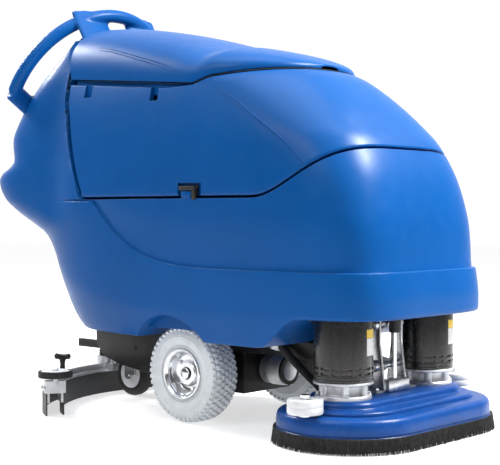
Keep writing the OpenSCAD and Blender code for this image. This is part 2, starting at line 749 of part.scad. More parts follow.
module key_switch() {
    color(steel) control(110, 256, 9, 8);
    color(steel) on_console(110 - 118, 256 - 158) block([6, 22, 22], [0, 0, 16]);
}
module emergency_stop() {
    color("red") {
        control(50, 256, 14, 12);
        on_console(50 - 118, 256 - 158) translate([0, 0, 12]) cylinder(r = 20, h = 12);
    }
}
module speed_knob() {
    color(black) {
        control(50, 60, 12, 8);
        on_console(50 - 118, 60 - 158) translate([0, 0, 4]) cylinder(r = 18, h = 16);
    }
}
module console_button(i) { color("gray") control(120, 70 + i * 40, 10, 6); }
module brush_button() { console_button(0); }
module water_button() { console_button(1); }
module suction_button() { console_button(2); }
// Bar that the driver squeezes to move off
bail_along = -104;
bail_height = 22;
module drive_bail() {
    color(black) on_console(bail_along, 0) translate([0, 0, bail_height]) rotate([0, -25, 0]) {
        rod_y(5, 304, [0, 0, 0]);
        both_sides() translate([-6, 128, -6]) cube([12, 12, 74]);
        rod_y(8, 300, [0, 0, 68]);
    }
}
lever_pivot = [-676, 716];
module squeegee_lever() {
    color(black) {
        rod_y(5, 44, [lever_pivot[0], 130, lever_pivot[1]]);
        rod_y(12, 26, [lever_pivot[0], 130, lever_pivot[1]]);
        translate([lever_pivot[0] - 12, 124, lever_pivot[1]]) cube([10, 12, 90]);
        translate([lever_pivot[0] - 7, 130, lever_pivot[1] + 78]) cylinder(r = 12, h = 34);
    }
}
// Hose that empties the recovery tank, hung along the back of the column
drain_route = [[-655, -130, 700], [-676, -130, 712], [-694, -130, 706], [-706, -130, 690],
    [-712, -130, 672], [-714, -130, 668]];
module drain_hose() { color(black) tube(drain_route, 20, 12); }

module tyre_right() { place_wheel(-1) tyre(drive_wheel_d, drive_tyre_w); }
module tyre_left() { place_wheel(1) tyre(drive_wheel_d, drive_tyre_w); }
module rim_right() { place_wheel(-1) rim(); }
module rim_left() { place_wheel(1) rim(); }
module wheel_nuts_right() { place_wheel(-1) nuts(); }
module wheel_nuts_left() { place_wheel(1) nuts(); }

lower_body();
rear_column();
recovery_tank();
tank_lid();
lid_seal();
lid_hinge_arms();
tank_side_hinges();
tank_hinge_blocks();
tank_latch();
float_cage();
float_ball();
chassis_frame();
battery_pack();
drive_unit();
vacuum_motor();
controller_box();
lift_actuator();
actuator_rod();
tyre_right();
rim_right();
wheel_nuts_right();
tyre_left();
rim_left();
wheel_nuts_left();
caster_fork();
caster_tyre();
caster_hub();
deck_lower();
deck_upper();
bristle_skirt();
brush_motors();
gearboxes();
lift_tower();
upper_link();
lower_link();
brush_right();
brush_left();
bumper_rollers_bolts();
bumper_roller_right();
bumper_roller_left();
solution_hose();
hose_fitting();
squeegee_yoke();
squeegee_body();
squeegee_blades();
squeegee_knobs();
side_roller_right();
side_roller_left();
vacuum_hose();
handle_hoop();
console_panel();
key_switch();
emergency_stop();
speed_knob();
brush_button();
water_button();
suction_button();
drive_bail();
squeegee_lever();
drain_hose();
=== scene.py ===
"""Looks of a walk-behind floor scrubber-dryer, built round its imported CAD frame. Sizes are in millimetres
until a mesh is made; +X is forward, +Y the machine's left, and the floor is at z = 0."""

import math

import bmesh
import bpy
import numpy as np
from mathutils import Matrix, Vector


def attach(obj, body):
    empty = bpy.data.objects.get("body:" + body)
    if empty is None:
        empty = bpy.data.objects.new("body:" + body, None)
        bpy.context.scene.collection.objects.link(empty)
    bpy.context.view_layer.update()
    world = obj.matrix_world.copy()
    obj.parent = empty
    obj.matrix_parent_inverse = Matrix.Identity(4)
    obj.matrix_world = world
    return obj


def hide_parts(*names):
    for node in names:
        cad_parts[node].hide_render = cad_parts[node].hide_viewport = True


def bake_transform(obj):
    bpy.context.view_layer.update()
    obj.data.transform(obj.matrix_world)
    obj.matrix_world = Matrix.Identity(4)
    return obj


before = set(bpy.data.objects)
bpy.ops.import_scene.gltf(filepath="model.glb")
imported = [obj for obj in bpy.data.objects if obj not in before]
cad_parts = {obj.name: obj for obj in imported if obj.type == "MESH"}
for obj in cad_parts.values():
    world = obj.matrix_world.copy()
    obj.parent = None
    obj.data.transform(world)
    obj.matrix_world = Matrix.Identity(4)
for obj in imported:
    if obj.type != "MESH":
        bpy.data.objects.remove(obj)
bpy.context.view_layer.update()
MM = 0.001

# ---------------------------------------------------------------- driving sizes, as in the CAD source
BODY_HALF = 300
MID_X = 60
SHELL_GAP = 5
STEP = 5                        # depth of the style step
FRONT_TABLE = [(0, 690), (325, 697), (409, 686), (486, 674), (553, 660), (613, 643), (666, 620),
               (705, 598), (738, 570), (779, 532), (831, 476), (867, 428), (890, 380)]
REAR_TABLE = [(215, -370), (242, -400), (315, -432), (410, -468), (471, -516), (499, -566), (539, -640),
              (575, -700), (607, -728), (625, -734), (645, -715), (662, -672), (680, -648), (740, -660),
              (801, -626), (1020, -405)]
SIDE_TABLE = [(215, -4), (300, 0), (560, 0), (700, -4), (800, -16), (880, -35), (1020, -105)]
NOSE_TABLE = [(450, 5.5), (570, 5), (700, 4), (800, 3), (880, 2.2)]
SEAM_TABLE = [(587, -233), (618, -248), (669, -266), (726, -282), (785, -298), (833, -313), (892, -321),
              (1040, -347)]
AXLE = (95, 200, 125)
CASTER_AXLE = (-345, 0, 62.5)
DECK_X = 553
BRUSH_Y = 167
DECK_Y = 140
SKIRT_R = 181
TIER_R = 174
ROLLER_Y = 305
SQUEEGEE_X = -42
SQUEEGEE_R = 430
ROLLER_ANGLE = 63               # degrees along the squeegee from straight behind
CLAMP_ANGLE = 30
HOOP_AT = (-555, 0, 875)
HOOP_R = 270
HOOP_LEAN = 121
CONSOLE_AT = (-515, 0, 910)
SOLUTION_ROUTE = [(330, -130, 205), (345, -132, 195), (368, -135, 178), (395, -135, 158), (420, -132, 138),
                  (440, -128, 122), (452, -124, 108), (456, -121, 103)]
VACUUM_ROUTE = [(-474, 0, 88), (-474, 0, 120), (-480, 5, 155), (-496, 14, 200), (-514, 22, 255),
                (-530, 25, 310), (-548, 25, 370), (-572, 25, 430), (-600, 25, 480), (-622, 25, 510),
                (-636, 25, 530)]
DRAIN_ROUTE = [(-655, -130, 700), (-676, -130, 712), (-694, -130, 706), (-706, -130, 690),
               (-712, -130, 672), (-714, -130, 668)]

# ---------------------------------------------------------------- sizes and lights of the looks alone
NOTCHES = (-225, 36)            # places of the lid's finger notches
TANK_STRIPE = [(232, 842), (300, 803), (360, 765), (420, 726), (463, 695), (520, 641)]
LID_STRIPE = [(-225, 974), (-156, 962), (-54, 935), (40, 909), (130, 876)]
COLUMN_FOOT = 567.0             # where the rear column leaves the shell under the tank
COLUMN_TOP = 1015.0
SEAM_X = -233                   # foot of the seam between tank and column
SHELF_HALF = 275                # half width of the top that lies under the tank
SLOT_TURN = 0.322               # radians between the cooling slots of one group
TREAD_BLOCKS = 46               # in each row round a tyre
BLOCK_HEIGHT = 5.4
BLOCK_HALF = 5.2
SIDES = ((-1, "right"), (1, "left"))
SOFTBOXES = (                   # name, place, target, size and watts
    ("top_softbox", (0.2, -0.2, 3.6), (0.0, -0.1, 0.6), (2.6, 2.0), 60),
    ("key_softbox", (2.0, 1.2, 2.8), (0.5, 0.0, 0.7), (0.9, 0.8), 250),
    ("rear_softbox", (-3.0, -0.4, 2.7), (-0.2, -0.1, 0.8), (0.9, 0.9), 150),
    ("side_softbox", (0.2, -3.4, 3.6), (0.1, 0, 0.7), (2.4, 1.0), 62),
)
BACKDROP_WAY = (-0.67, 0.74, 0)  # the way to the bright backdrop, behind the machine


# ---------------------------------------------------------------- camera, floor and light

def link(obj):
    bpy.context.scene.collection.objects.link(obj)
    return obj


def add_camera():
    """A long lens at knee height, looking at the machine's front right corner."""
    data = bpy.data.cameras.new("camera")
    data.sensor_width = 36
    data.lens = 86.4
    obj = link(bpy.data.objects.new("camera", data))
    obj.location = (2.255, -2.354, 0.533)
    obj.rotation_euler = (math.radians(89.02), 0, math.radians(42.35))
    bpy.context.scene.camera = obj


def add_area_light(name, place, target, size, power):
    data = bpy.data.lights.new(name, "AREA")
    data.shape = "RECTANGLE"
    data.size, data.size_y = size
    data.energy = power
    obj = link(bpy.data.objects.new(name, data))
    obj.location = place
    obj.rotation_euler = (Vector(target) - Vector(place)).to_track_quat("-Z", "Y").to_euler()


def add_studio():
    """A pale floor, a white surround that is dimmer at the sides, and large soft lights."""
    scene = bpy.context.scene
    scene.view_settings.view_transform = "Standard"
    scene.view_settings.look = "None"
    world = bpy.data.worlds.new("studio")
    scene.world = world
    world.use_nodes = True
    nodes, links = world.node_tree.nodes, world.node_tree.links
    sky = nodes["Background"]
    sky.inputs["Color"].default_value = (1, 1, 1, 1)
    coords = nodes.new("ShaderNodeTexCoord")
    split = nodes.new("ShaderNodeSeparateXYZ")
    links.new(coords.outputs["Generated"], split.inputs[0])
    overhead = add_range(nodes, links, split.outputs["Z"], 0.2, 0.8, 0.10, 0.8)
    backdrop = nodes.new("ShaderNodeVectorMath")
    backdrop.operation = "DOT_PRODUCT"
    backdrop.inputs[1].default_value = BACKDROP_WAY
    links.new(coords.outputs["Generated"], backdrop.inputs[0])
    behind = add_range(nodes, links, backdrop.outputs["Value"], 0.40, 0.80, 0.10, 1.04)
    links.new(add_math(nodes, links, "MAXIMUM", overhead, behind), sky.inputs["Strength"])
    for softbox in SOFTBOXES:
        add_area_light(*softbox)
    floor = mesh_object("floor", [(-14, -14, 0), (14, -14, 0), (14, 14, 0), (-14, 14, 0)],
                        [(0, 1, 2, 3)], FLOOR, scale=1.0)


# ---------------------------------------------------------------- materials

def grey(value):
    return (value, value, value)


def set_inputs(node, **values):
    """Sets sockets by name, with an underscore for each space."""
    for socket, value in values.items():
        node.inputs[socket.replace("_", " ")].default_value = value


def add_noise(nodes, links, vector, scale, detail=4.0, roughness=0.55):
    noise = nodes.new("ShaderNodeTexNoise")
    set_inputs(noise, Scale=scale, Detail=detail, Roughness=roughness)
    links.new(vector, noise.inputs["Vector"])
    return noise.outputs["Fac"]


def add_range(nodes, links, value, low, high, to_low, to_high):
    node = nodes.new("ShaderNodeMapRange")
    set_inputs(node, From_Min=low, From_Max=high, To_Min=to_low, To_Max=to_high)
    links.new(value, node.inputs["Value"])
    return node.outputs["Result"]


def add_math(nodes, links, operation, first, second):
    node = nodes.new("ShaderNodeMath")
    node.operation = operation
    links.new(first, node.inputs[0])
    links.new(second, node.inputs[1])
    return node.outputs[0]


def add_colour_mix(nodes, links, share, first, second):
    node = nodes.new("ShaderNodeMix")
    node.data_type = "RGBA"
    links.new(share, node.inputs["Factor"])
    for socket, colour in ((node.inputs["A"], first), (node.inputs["B"], second)):
        if isinstance(colour, bpy.types.NodeSocket):
            links.new(colour, socket)
        else:
            socket.default_value = (*colour, 1)
    return node.outputs["Result"]


def surface(name, colour, roughness, metallic=0.0, coat=0.0, mottle=0.10, mottle_scale=7.0, grain=0.10,
            grain_scale=700.0, grain_depth=0.0003, stretch=(1, 1, 1), edge=0.0012, worn=None,
            wear=0.5, dust=None, dust_share=0.12, rough_spread=0.06, specular=0.5, glow=0.0):
    """A moulded, painted or metal finish: mottled colour, uneven gloss, fine grain, softened edges that
    may be worn to another colour, and a little dust in broad patches."""
    mat = bpy.data.materials.new(name)
    mat.use_nodes = True
    nodes, links = mat.node_tree.nodes, mat.node_tree.links
    shader = nodes["Principled BSDF"]
    coords = nodes.new("ShaderNodeTexCoord")
    mapping = nodes.new("ShaderNodeMapping")
    mapping.inputs["Scale"].default_value = stretch
    links.new(coords.outputs["Object"], mapping.inputs["Vector"])
    place = mapping.outputs["Vector"]
    broad = add_noise(nodes, links, place, mottle_scale)
    middle = add_noise(nodes, links, place, mottle_scale * 9, 6.0, 0.65)
    fine = add_noise(nodes, links, place, grain_scale, 3.0)
    darker = tuple(c * (1 - mottle) for c in colour)
    lighter = tuple(min(1, c * (1 + mottle) + 0.01 * mottle) for c in colour)
    tint = add_colour_mix(nodes, links, add_range(nodes, links, broad, 0.35, 0.65, 0, 1), darker, lighter)
    if dust is not None:
        share = add_range(nodes, links, middle, 0.52, 0.75, 0, dust_share)
        tint = add_colour_mix(nodes, links, share, tint, dust)
    bevel = nodes.new("ShaderNodeBevel")
    bevel.samples = 4
    bevel.inputs["Radius"].default_value = edge
    if worn is not None:
        geometry = nodes.new("ShaderNodeNewGeometry")
        dot = nodes.new("ShaderNodeVectorMath")
        dot.operation = "DOT_PRODUCT"
        links.new(bevel.outputs["Normal"], dot.inputs[0])
        links.new(geometry.outputs["Normal"], dot.inputs[1])
        on_edge = add_range(nodes, links, dot.outputs["Value"], 0.97, 0.80, 0, 1)
        rubbed = add_range(nodes, links, middle, 0.42, 0.60, 0, wear)
        share = add_math(nodes, links, "MULTIPLY", on_edge, rubbed)
        tint = add_colour_mix(nodes, links, share, tint, worn)
    links.new(tint, shader.inputs["Base Color"])
    links.new(add_range(nodes, links, middle, 0.3, 0.7, roughness - rough_spread, roughness + rough_spread),
              shader.inputs["Roughness"])
    bump = nodes.new("ShaderNodeBump")
    set_inputs(bump, Strength=grain, Distance=grain_depth)
    links.new(fine, bump.inputs["Height"])
    links.new(bevel.outputs["Normal"], bump.inputs["Normal"])
    links.new(bump.outputs["Normal"], shader.inputs["Normal"])
    set_inputs(shader, Metallic=metallic, Specular_IOR_Level=specular, Coat_Weight=coat,
               Coat_Roughness=0.22, Emission_Color=(1, 1, 1, 1), Emission_Strength=glow)
    return mat


BLUE = surface("blue_shell", (0.0008, 0.064, 0.245), 0.35, specular=0.13, mottle=0.06, mottle_scale=3.0,
               grain=0.22, grain_scale=420, worn=(0.12, 0.30, 0.58), wear=0.5, dust=(0.02, 0.10, 0.30),
               dust_share=0.10, rough_spread=0.05)
DECK_BLUE = surface("deck_blue", (0.001, 0.045, 0.210), 0.33, specular=0.22, mottle=0.10, mottle_scale=9,
                    grain=0.3, grain_scale=380, worn=(0.10, 0.20, 0.42), wear=0.5,
                    dust=(0.16, 0.22, 0.34), dust_share=0.10)
BLACK_STEEL = surface("black_steel", grey(0.006), 0.42, specular=0.3, mottle=0.3, grain=0.3, grain_scale=600,
                      worn=grey(0.25), wear=0.6, dust=grey(0.10), dust_share=0.18)
MOTOR_BLACK = surface("motor_black", (0.004, 0.0045, 0.005), 0.26, coat=0.15, mottle=0.2, grain=0.12,
                      worn=grey(0.20), wear=0.4, rough_spread=0.07)
BLACK_PLASTIC = surface("black_plastic", grey(0.009), 0.48, specular=0.35, mottle=0.2, grain=0.5,
                        grain_scale=900, worn=grey(0.08), dust=grey(0.09), dust_share=0.10)
RUBBER = surface("black_rubber", grey(0.014), 0.62, mottle=0.25, grain=0.5, grain_scale=500,
                 dust=grey(0.12), dust_share=0.20, specular=0.35)
STEEL = surface("steel", (0.62, 0.63, 0.65), 0.30, metallic=1.0, mottle=0.10, mottle_scale=20, grain=0.25,
                grain_scale=160, stretch=(1, 1, 9), worn=(0.80, 0.80, 0.82), rough_spread=0.10)
BRIGHT_STEEL = surface("bright_steel", (0.72, 0.73, 0.75), 0.20, metallic=1.0, mottle=0.06, grain=0.1,
                       grain_scale=240, rough_spread=0.08)
CAST = surface("cast_alloy", (0.60, 0.61, 0.63), 0.44, metallic=0.85, mottle=0.14, mottle_scale=16,
               grain=0.8, grain_scale=330, grain_depth=0.0006, worn=(0.80, 0.80, 0.82),
               dust=grey(0.25), dust_share=0.25, rough_spread=0.08)
TYRE = surface("grey_tyre", (0.62, 0.65, 0.68), 0.70, mottle=0.07, mottle_scale=30, grain=0.8,
               grain_scale=420, grain_depth=0.0006, dust=(0.34, 0.35, 0.36), dust_share=0.35,
               worn=(0.72, 0.73, 0.74), specular=0.3)
GREY_PLASTIC = surface("grey_plastic", (0.60, 0.61, 0.63), 0.50, mottle=0.08, mottle_scale=25, grain=0.7,
                       grain_scale=350, dust=grey(0.30), dust_share=0.30, worn=grey(0.75))
BRISTLE = surface("bristle", grey(0.020), 0.55, mottle=0.6, mottle_scale=90, grain=0.4, edge=0.0003,
                  dust=grey(0.14), dust_share=0.5)
BRUSH_BLUE = surface("brush_blue", (0.010, 0.060, 0.240), 0.60, mottle=0.3, mottle_scale=60, grain=0.4,
                     edge=0.0003)
BLADE = surface("blade_rubber", (0.035, 0.036, 0.038), 0.55, mottle=0.12, grain=0.3, dust=grey(0.25))
WHITE_PLASTIC = surface("white_plastic", (0.72, 0.72, 0.70), 0.45, mottle=0.05, grain=0.3)
RED = surface("red_plastic", (0.52, 0.012, 0.010), 0.30, coat=0.4, mottle=0.08, grain=0.1)
YELLOW = surface("label_yellow", (0.75, 0.52, 0.03), 0.45, mottle=0.06, mottle_scale=60, grain=0.1)
LABEL_WHITE = surface("label_white", (0.78, 0.78, 0.76), 0.45, mottle=0.06, mottle_scale=60, grain=0.1)
WINDING = surface("winding", (0.10, 0.09, 0.085), 0.40, metallic=0.6, mottle=0.3, mottle_scale=120,
                 grain=0.8, grain_scale=500, stretch=(1, 1, 6))
FLOOR = surface("studio_floor", grey(0.46), 0.75, mottle=0.02, mottle_scale=2.0, grain=0.05,
                grain_scale=300, specular=0.15, glow=0.62)

FINISHED_NODES = (
    (BLUE, "lower_body rear_column recovery_tank tank_lid handle_hoop"),
    (DECK_BLUE, "deck_lower deck_upper"),
    (BLACK_STEEL, "chassis_frame squeegee_yoke drive_unit"),
    (MOTOR_BLACK, "brush_motors"),
    (BRIGHT_STEEL, "actuator_rod rim_right rim_left wheel_nuts_right wheel_nuts_left "
                   "bumper_rollers_bolts key_switch"),
    (STEEL, "caster_fork lift_tower upper_link lower_link"),
    (CAST, "gearboxes squeegee_body vacuum_motor controller_box hose_fitting"),
    (TYRE, "tyre_right tyre_left"),
    (RUBBER, "lid_seal caster_tyre solution_hose vacuum_hose drain_hose side_roller_right "
             "side_roller_left"),
    (GREY_PLASTIC, "bumper_roller_right bumper_roller_left caster_hub brush_button water_button "
                   "suction_button"),
    (BRISTLE, "bristle_skirt"),
    (BRUSH_BLUE, "brush_right brush_left"),
    (BLADE, "squeegee_blades"),
    (WHITE_PLASTIC, "float_cage"),
    (RED, "emergency_stop float_ball"),
)


def finish_cad_nodes():
    """Every CAD node that stays in view gets its own finish; the rest are black moulded plastic."""
    finishes = {name: finish for finish, names in FINISHED_NODES for name in names.split()}
    for name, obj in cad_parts.items():
        obj.data.materials.clear()
        obj.data.materials.append(finishes.get(name, BLACK_PLASTIC))


# ---------------------------------------------------------------- mesh tools

def mesh_object(name, points, faces, finish, scale=MM, smooth=35):
    """A tidied mesh from points and faces, with one finish."""
    mesh = bpy.data.meshes.new(name)
    mesh.from_pydata((np.array(points, float) * scale).tolist(), [], faces)
    mesh.materials.append(finish)
    obj = link(bpy.data.objects.new(name, mesh))
    tidy_mesh(obj, smooth)
    return obj


def tidy_mesh(obj, smooth=35):
    """Merges doubled points, turns every face outwards and smooths all but the sharp edges."""
    mesh = obj.data
    work = bmesh.new()
    work.from_mesh(mesh)
    bmesh.ops.remove_doubles(work, verts=work.verts, dist=1e-6)
    bmesh.ops.dissolve_degenerate(work, edges=work.edges, dist=1e-7)
    bmesh.ops.recalc_face_normals(work, faces=work.faces)
    work.to_mesh(mesh)
    work.free()
    mesh.shade_smooth()
    mesh.set_sharp_from_angle(angle=math.radians(smooth))


def loft(name, rings, finish, smooth=35):
    """A solid of quads between equal rings, closed by strips across the two end rings."""
    size = len(rings[0])
    last = (len(rings) - 1) * size
    faces = []
    for start in range(0, last, size):
        for k in range(size):
            a, b = start + k, start + (k + 1) % size
            faces.append((a, b, b + size, a + size))
    for k in range(size // 2 - 1):
        faces.append((size - 1 - k, size - 2 - k, k + 1, k))
        faces.append((last + k, last + k + 1, last + size - 2 - k, last + size - 1 - k))
    return mesh_object(name, np.concatenate(rings), faces, finish, smooth=smooth)


def revolve(name, profile, at, finish, axis="Z", steps=64, smooth=35, flip=1):
    """Turns a profile of (radius, height) points, which starts and ends on the axis or is a loop."""
    loop = profile[0] == profile[-1]
    outline = profile[:-1] if loop else profile
    points = []
    for radius, height in outline:
        for k in range(steps):
            a = 2 * math.pi * k / steps
            u, v, w = radius * math.cos(a), radius * math.sin(a), flip * height
            points.append({"Z": (u, v, w), "Y": (u, w, v), "X": (w, u, v)}[axis])
    rings = len(outline)
    faces = []
    for r in range(rings if loop else rings - 1):
        for k in range(steps):
            n, s = (k + 1) % steps, (r + 1) % rings
            faces.append((r * steps + k, r * steps + n, s * steps + n, s * steps + k))
    if not loop:
        faces.append(tuple(range(steps)))
        faces.append(tuple((rings - 1) * steps + k for k in range(steps)))
    return mesh_object(name, np.array(points) + np.array(at, float), faces, finish, smooth=smooth)


def smooth_route(route, count):
    """Even points on a smooth curve through the route's own points."""
    pts = np.array(route, float)
    ends = np.vstack([2 * pts[0] - pts[1], pts, 2 * pts[-1] - pts[-2]])
    dense = []
    for i in range(1, len(ends) - 2):
        p0, p1, p2, p3 = ends[i - 1:i + 3]
        for t in np.linspace(0, 1, 24, endpoint=False):
            dense.append(0.5 * (2 * p1 + (p2 - p0) * t + (2 * p0 - 5 * p1 + 4 * p2 - p3) * t * t
                                + (3 * p1 - p0 - 3 * p2 + p3) * t ** 3))
    dense.append(pts[-1])
    dense = np.array(dense)
    along = np.concatenate([[0], np.cumsum(np.linalg.norm(np.diff(dense, axis=0), axis=1))])
    at = np.linspace(0, along[-1], count)
    return np.stack([np.interp(at, along, dense[:, i]) for i in range(3)], 1), along[-1]


def sweep(name, path, radii, finish, sides=20, section=(1, 1), smooth=50, up=(0.31, 0.95, 0.05)):
    """A closed tube along a path; radii has one number for each point."""
    path = np.array(path, float)
    rings = []
    for i, (p, r) in enumerate(zip(path, radii)):
        d = path[min(i + 1, len(path) - 1)] - path[max(i - 1, 0)]
        d /= np.linalg.norm(d)
        u = np.cross(d, up)
        u /= np.linalg.norm(u)
        w = np.cross(d, u)
        a = 2 * math.pi * (np.arange(sides) + 0.5) / sides
        rings.append(p + r * (np.cos(a)[:, None] * u * section[0] + np.sin(a)[:, None] * w * section[1]))
    return loft(name, rings, finish, smooth=smooth)


def box_mesh(name, low, high, finish, rotate=None, about=(0, 0, 0)):
    """A plain box between two corners, for cutting or softening, turned about a point if asked."""
    (x0, y0, z0), (x1, y1, z1) = low, high
    base = ((x0, y0), (x1, y0), (x1, y1), (x0, y1))
    points = np.array([(x, y, z) for z in (z0, z1) for x, y in base], float)
    if rotate is not None:
        points = (points - about) @ np.array(rotate.to_3x3()).T + np.array(about)
    faces = [(3, 2, 1, 0), (4, 5, 6, 7), (0, 1, 5, 4), (1, 2, 6, 5), (2, 3, 7, 6), (3, 0, 4, 7)]
    return mesh_object(name, points, faces, finish)


def apply_modifiers(obj):
    """Gives the object the mesh that its modifiers make, and drops them."""
    graph = bpy.context.evaluated_depsgraph_get()
    mesh = bpy.data.meshes.new_from_object(obj.evaluated_get(graph))
    obj.modifiers.clear()
    old = obj.data
    obj.data = mesh
    bpy.data.meshes.remove(old)


def cut(obj, cutters, smooth=35):
    """Takes the cutters out of the object, then removes them."""
    whole = join("cutters", cutters)
    mod = obj.modifiers.new("cut", "BOOLEAN")
    mod.operation = "DIFFERENCE"
    mod.solver = "EXACT"
    mod.use_self = True
    mod.object = whole
    bpy.context.view_layer.update()
    apply_modifiers(obj)
    bpy.data.objects.remove(whole)
    tidy_mesh(obj, smooth)


def join(name, objects):
    """One object from several, keeping their finishes."""
    work = bmesh.new()
    finishes = []
    for o in objects:
        first = len(work.faces)
        work.from_mesh(o.data)
        work.faces.ensure_lookup_table()
        mat = o.data.materials[0]
        if mat not in finishes:
            finishes.append(mat)
        for face in work.faces[first:]:
            face.material_index = finishes.index(mat)
    mesh = bpy.data.meshes.new(name)
    work.to_mesh(mesh)
    work.free()
    for mat in finishes:
        mesh.materials.append(mat)
    for o in objects:
        bpy.data.objects.remove(o)
    mesh.set_sharp_from_angle(angle=math.radians(35))
    return link(bpy.data.objects.new(name, mesh))


def melt(obj, voxel, relax=4, smooth=60):
    """Blends the pieces of an object into one moulding with soft joins."""
    mod = obj.modifiers.new("remesh", "REMESH")
    mod.mode = "VOXEL"
    mod.voxel_size = voxel * MM
    apply_modifiers(obj)
    mod = obj.modifiers.new("relax", "SMOOTH")
    mod.factor = 0.5
    mod.iterations = relax
    apply_modifiers(obj)
    tidy_mesh(obj, smooth)


def curve_through(table):
    """A smooth function through (place, value) pairs that never overshoots them."""
    x, y = (np.array(c, float) for c in zip(*table))
    h = np.diff(x)
    d = np.diff(y) / h
    m = np.concatenate([[d[0]], np.zeros(len(x) - 2), [d[-1]]])
    for i in range(1, len(x) - 1):
        if d[i - 1] * d[i] > 0:
            w1, w2 = 2 * h[i] + h[i - 1], h[i] + 2 * h[i - 1]
            m[i] = (w1 + w2) / (w1 / d[i - 1] + w2 / d[i])

    def value(at):
        at = np.clip(at, x[0], x[-1])
        i = np.clip(np.searchsorted(x, at, side="right") - 1, 0, len(x) - 2)
        t = (at - x[i]) / h[i]
        return ((2 * t ** 3 - 3 * t ** 2 + 1) * y[i] + (t ** 3 - 2 * t ** 2 + t) * h[i] * m[i]
                + (3 * t ** 2 - 2 * t ** 3) * y[i + 1] + (t ** 3 - t ** 2) * h[i] * m[i + 1])
    return value


def ease(t):
    t = np.clip(t, 0, 1)
    return t * t * (3 - 2 * t)


# ---------------------------------------------------------------- body surface

front_of = curve_through(FRONT_TABLE)
rear_of = curve_through(REAR_TABLE)
side_of = curve_through(SIDE_TABLE)
nose_of = curve_through(NOSE_TABLE)
seam_of = curve_through(SEAM_TABLE)


def bottom_edge(x):
    """Height of the body's lower edge, which rises over the deck."""
    return 215 + 75 * ease((x - 390) / 130)


def tank_edge(x):
    """Height of the body's upper edge, under the tank."""
    return 567 + 122 * ease((x - 385) / 270)


def lid_edge(x):
    """Height of the lid's lower edge."""
    return 872 - 0.09 * (x + 60) + 25 * ease((x - 150) / 75) + 0.21 * np.maximum(0, x - 225)


def style_line(x):
    """Height of the style line on the side: level in front, sweeping up towards the rear seam."""
    return 395 + 192 * np.clip((406 - x) / 604, 0, 1.1) ** 4.5


def crease_line(x):
    """Height of the soft crease under which the side tucks in."""
    return 285 + 133 * np.clip((100 - x) / 550, 0, 1.2) ** 2.2


def power_curve(share, power):
    """From 1 down to 0 over a rounded corner; a larger power is squarer."""
    return np.maximum(0, 1 - np.clip(share, 0, 1) ** power) ** (1 / power)


def square_turn(turn, power):
    """A point on a unit rounded square: squarer for a larger power, with even steps along its sides."""
    c, s = np.cos(turn), np.sin(turn)
    size = (np.abs(c) ** power + np.abs(s) ** power) ** (-1 / power)
    return c * size, s * size


AROUND = 208
TURNS = 2 * math.pi * (np.arange(AROUND) + 0.5) / AROUND


def shell_half(x, z):
    """Half width of the shells at a place and height: full behind the middle, rounded at the nose."""
    return (BODY_HALF + side_of(z)) * power_curve((x - MID_X) / (front_of(z) - MID_X), nose_of(z))


def body_half(x, z):
    """Half width of the body's own outline at a place and height, before the style step."""
    half = BODY_HALF + side_of(z)
    tuck = 16 * np.clip((crease_line(x) - z) / 80, 0, 1.6) ** 1.25
    rear = rear_of(z)
    plain = half * power_curve((MID_X - x) / (MID_X - rear), 4)
    column = (half - 25 * ease((-240 - x) / 160)) * power_curve((-400 - x) / (-400 - rear), 4)
    share = ease((z - 470) / (COLUMN_FOOT - 470))
    behind = plain * (1 - share) + column * share
    return np.where(x >= MID_X, shell_half(x, z), behind) - tuck


def body_points(z, inset=0.0):
    """Points of the outline at heights z, all around, drawn in by inset."""
    power = np.where(np.cos(TURNS) >= 0, nose_of(z), 4)
    cx, cy = square_turn(TURNS, power)
    reach = np.where(cx >= 0, front_of(z) - MID_X, MID_X - rear_of(z))
    x = MID_X + (reach - inset) * cx
    half = np.maximum(body_half(np.clip(MID_X + reach * cx, rear_of(z), front_of(z)), z), 0)
    y = np.sign(cy) * np.maximum(half - inset, np.minimum(half, 2.0))
    return np.stack([x, y, z], -1)


def settle(height_at, point_at, start):
    """Heights all round where the outline meets a line drawn over its length."""
    z = np.full(AROUND, float(start))
    for _ in range(40):
        z = 0.5 * z + 0.5 * height_at(point_at(z)[:, 0])
    return z


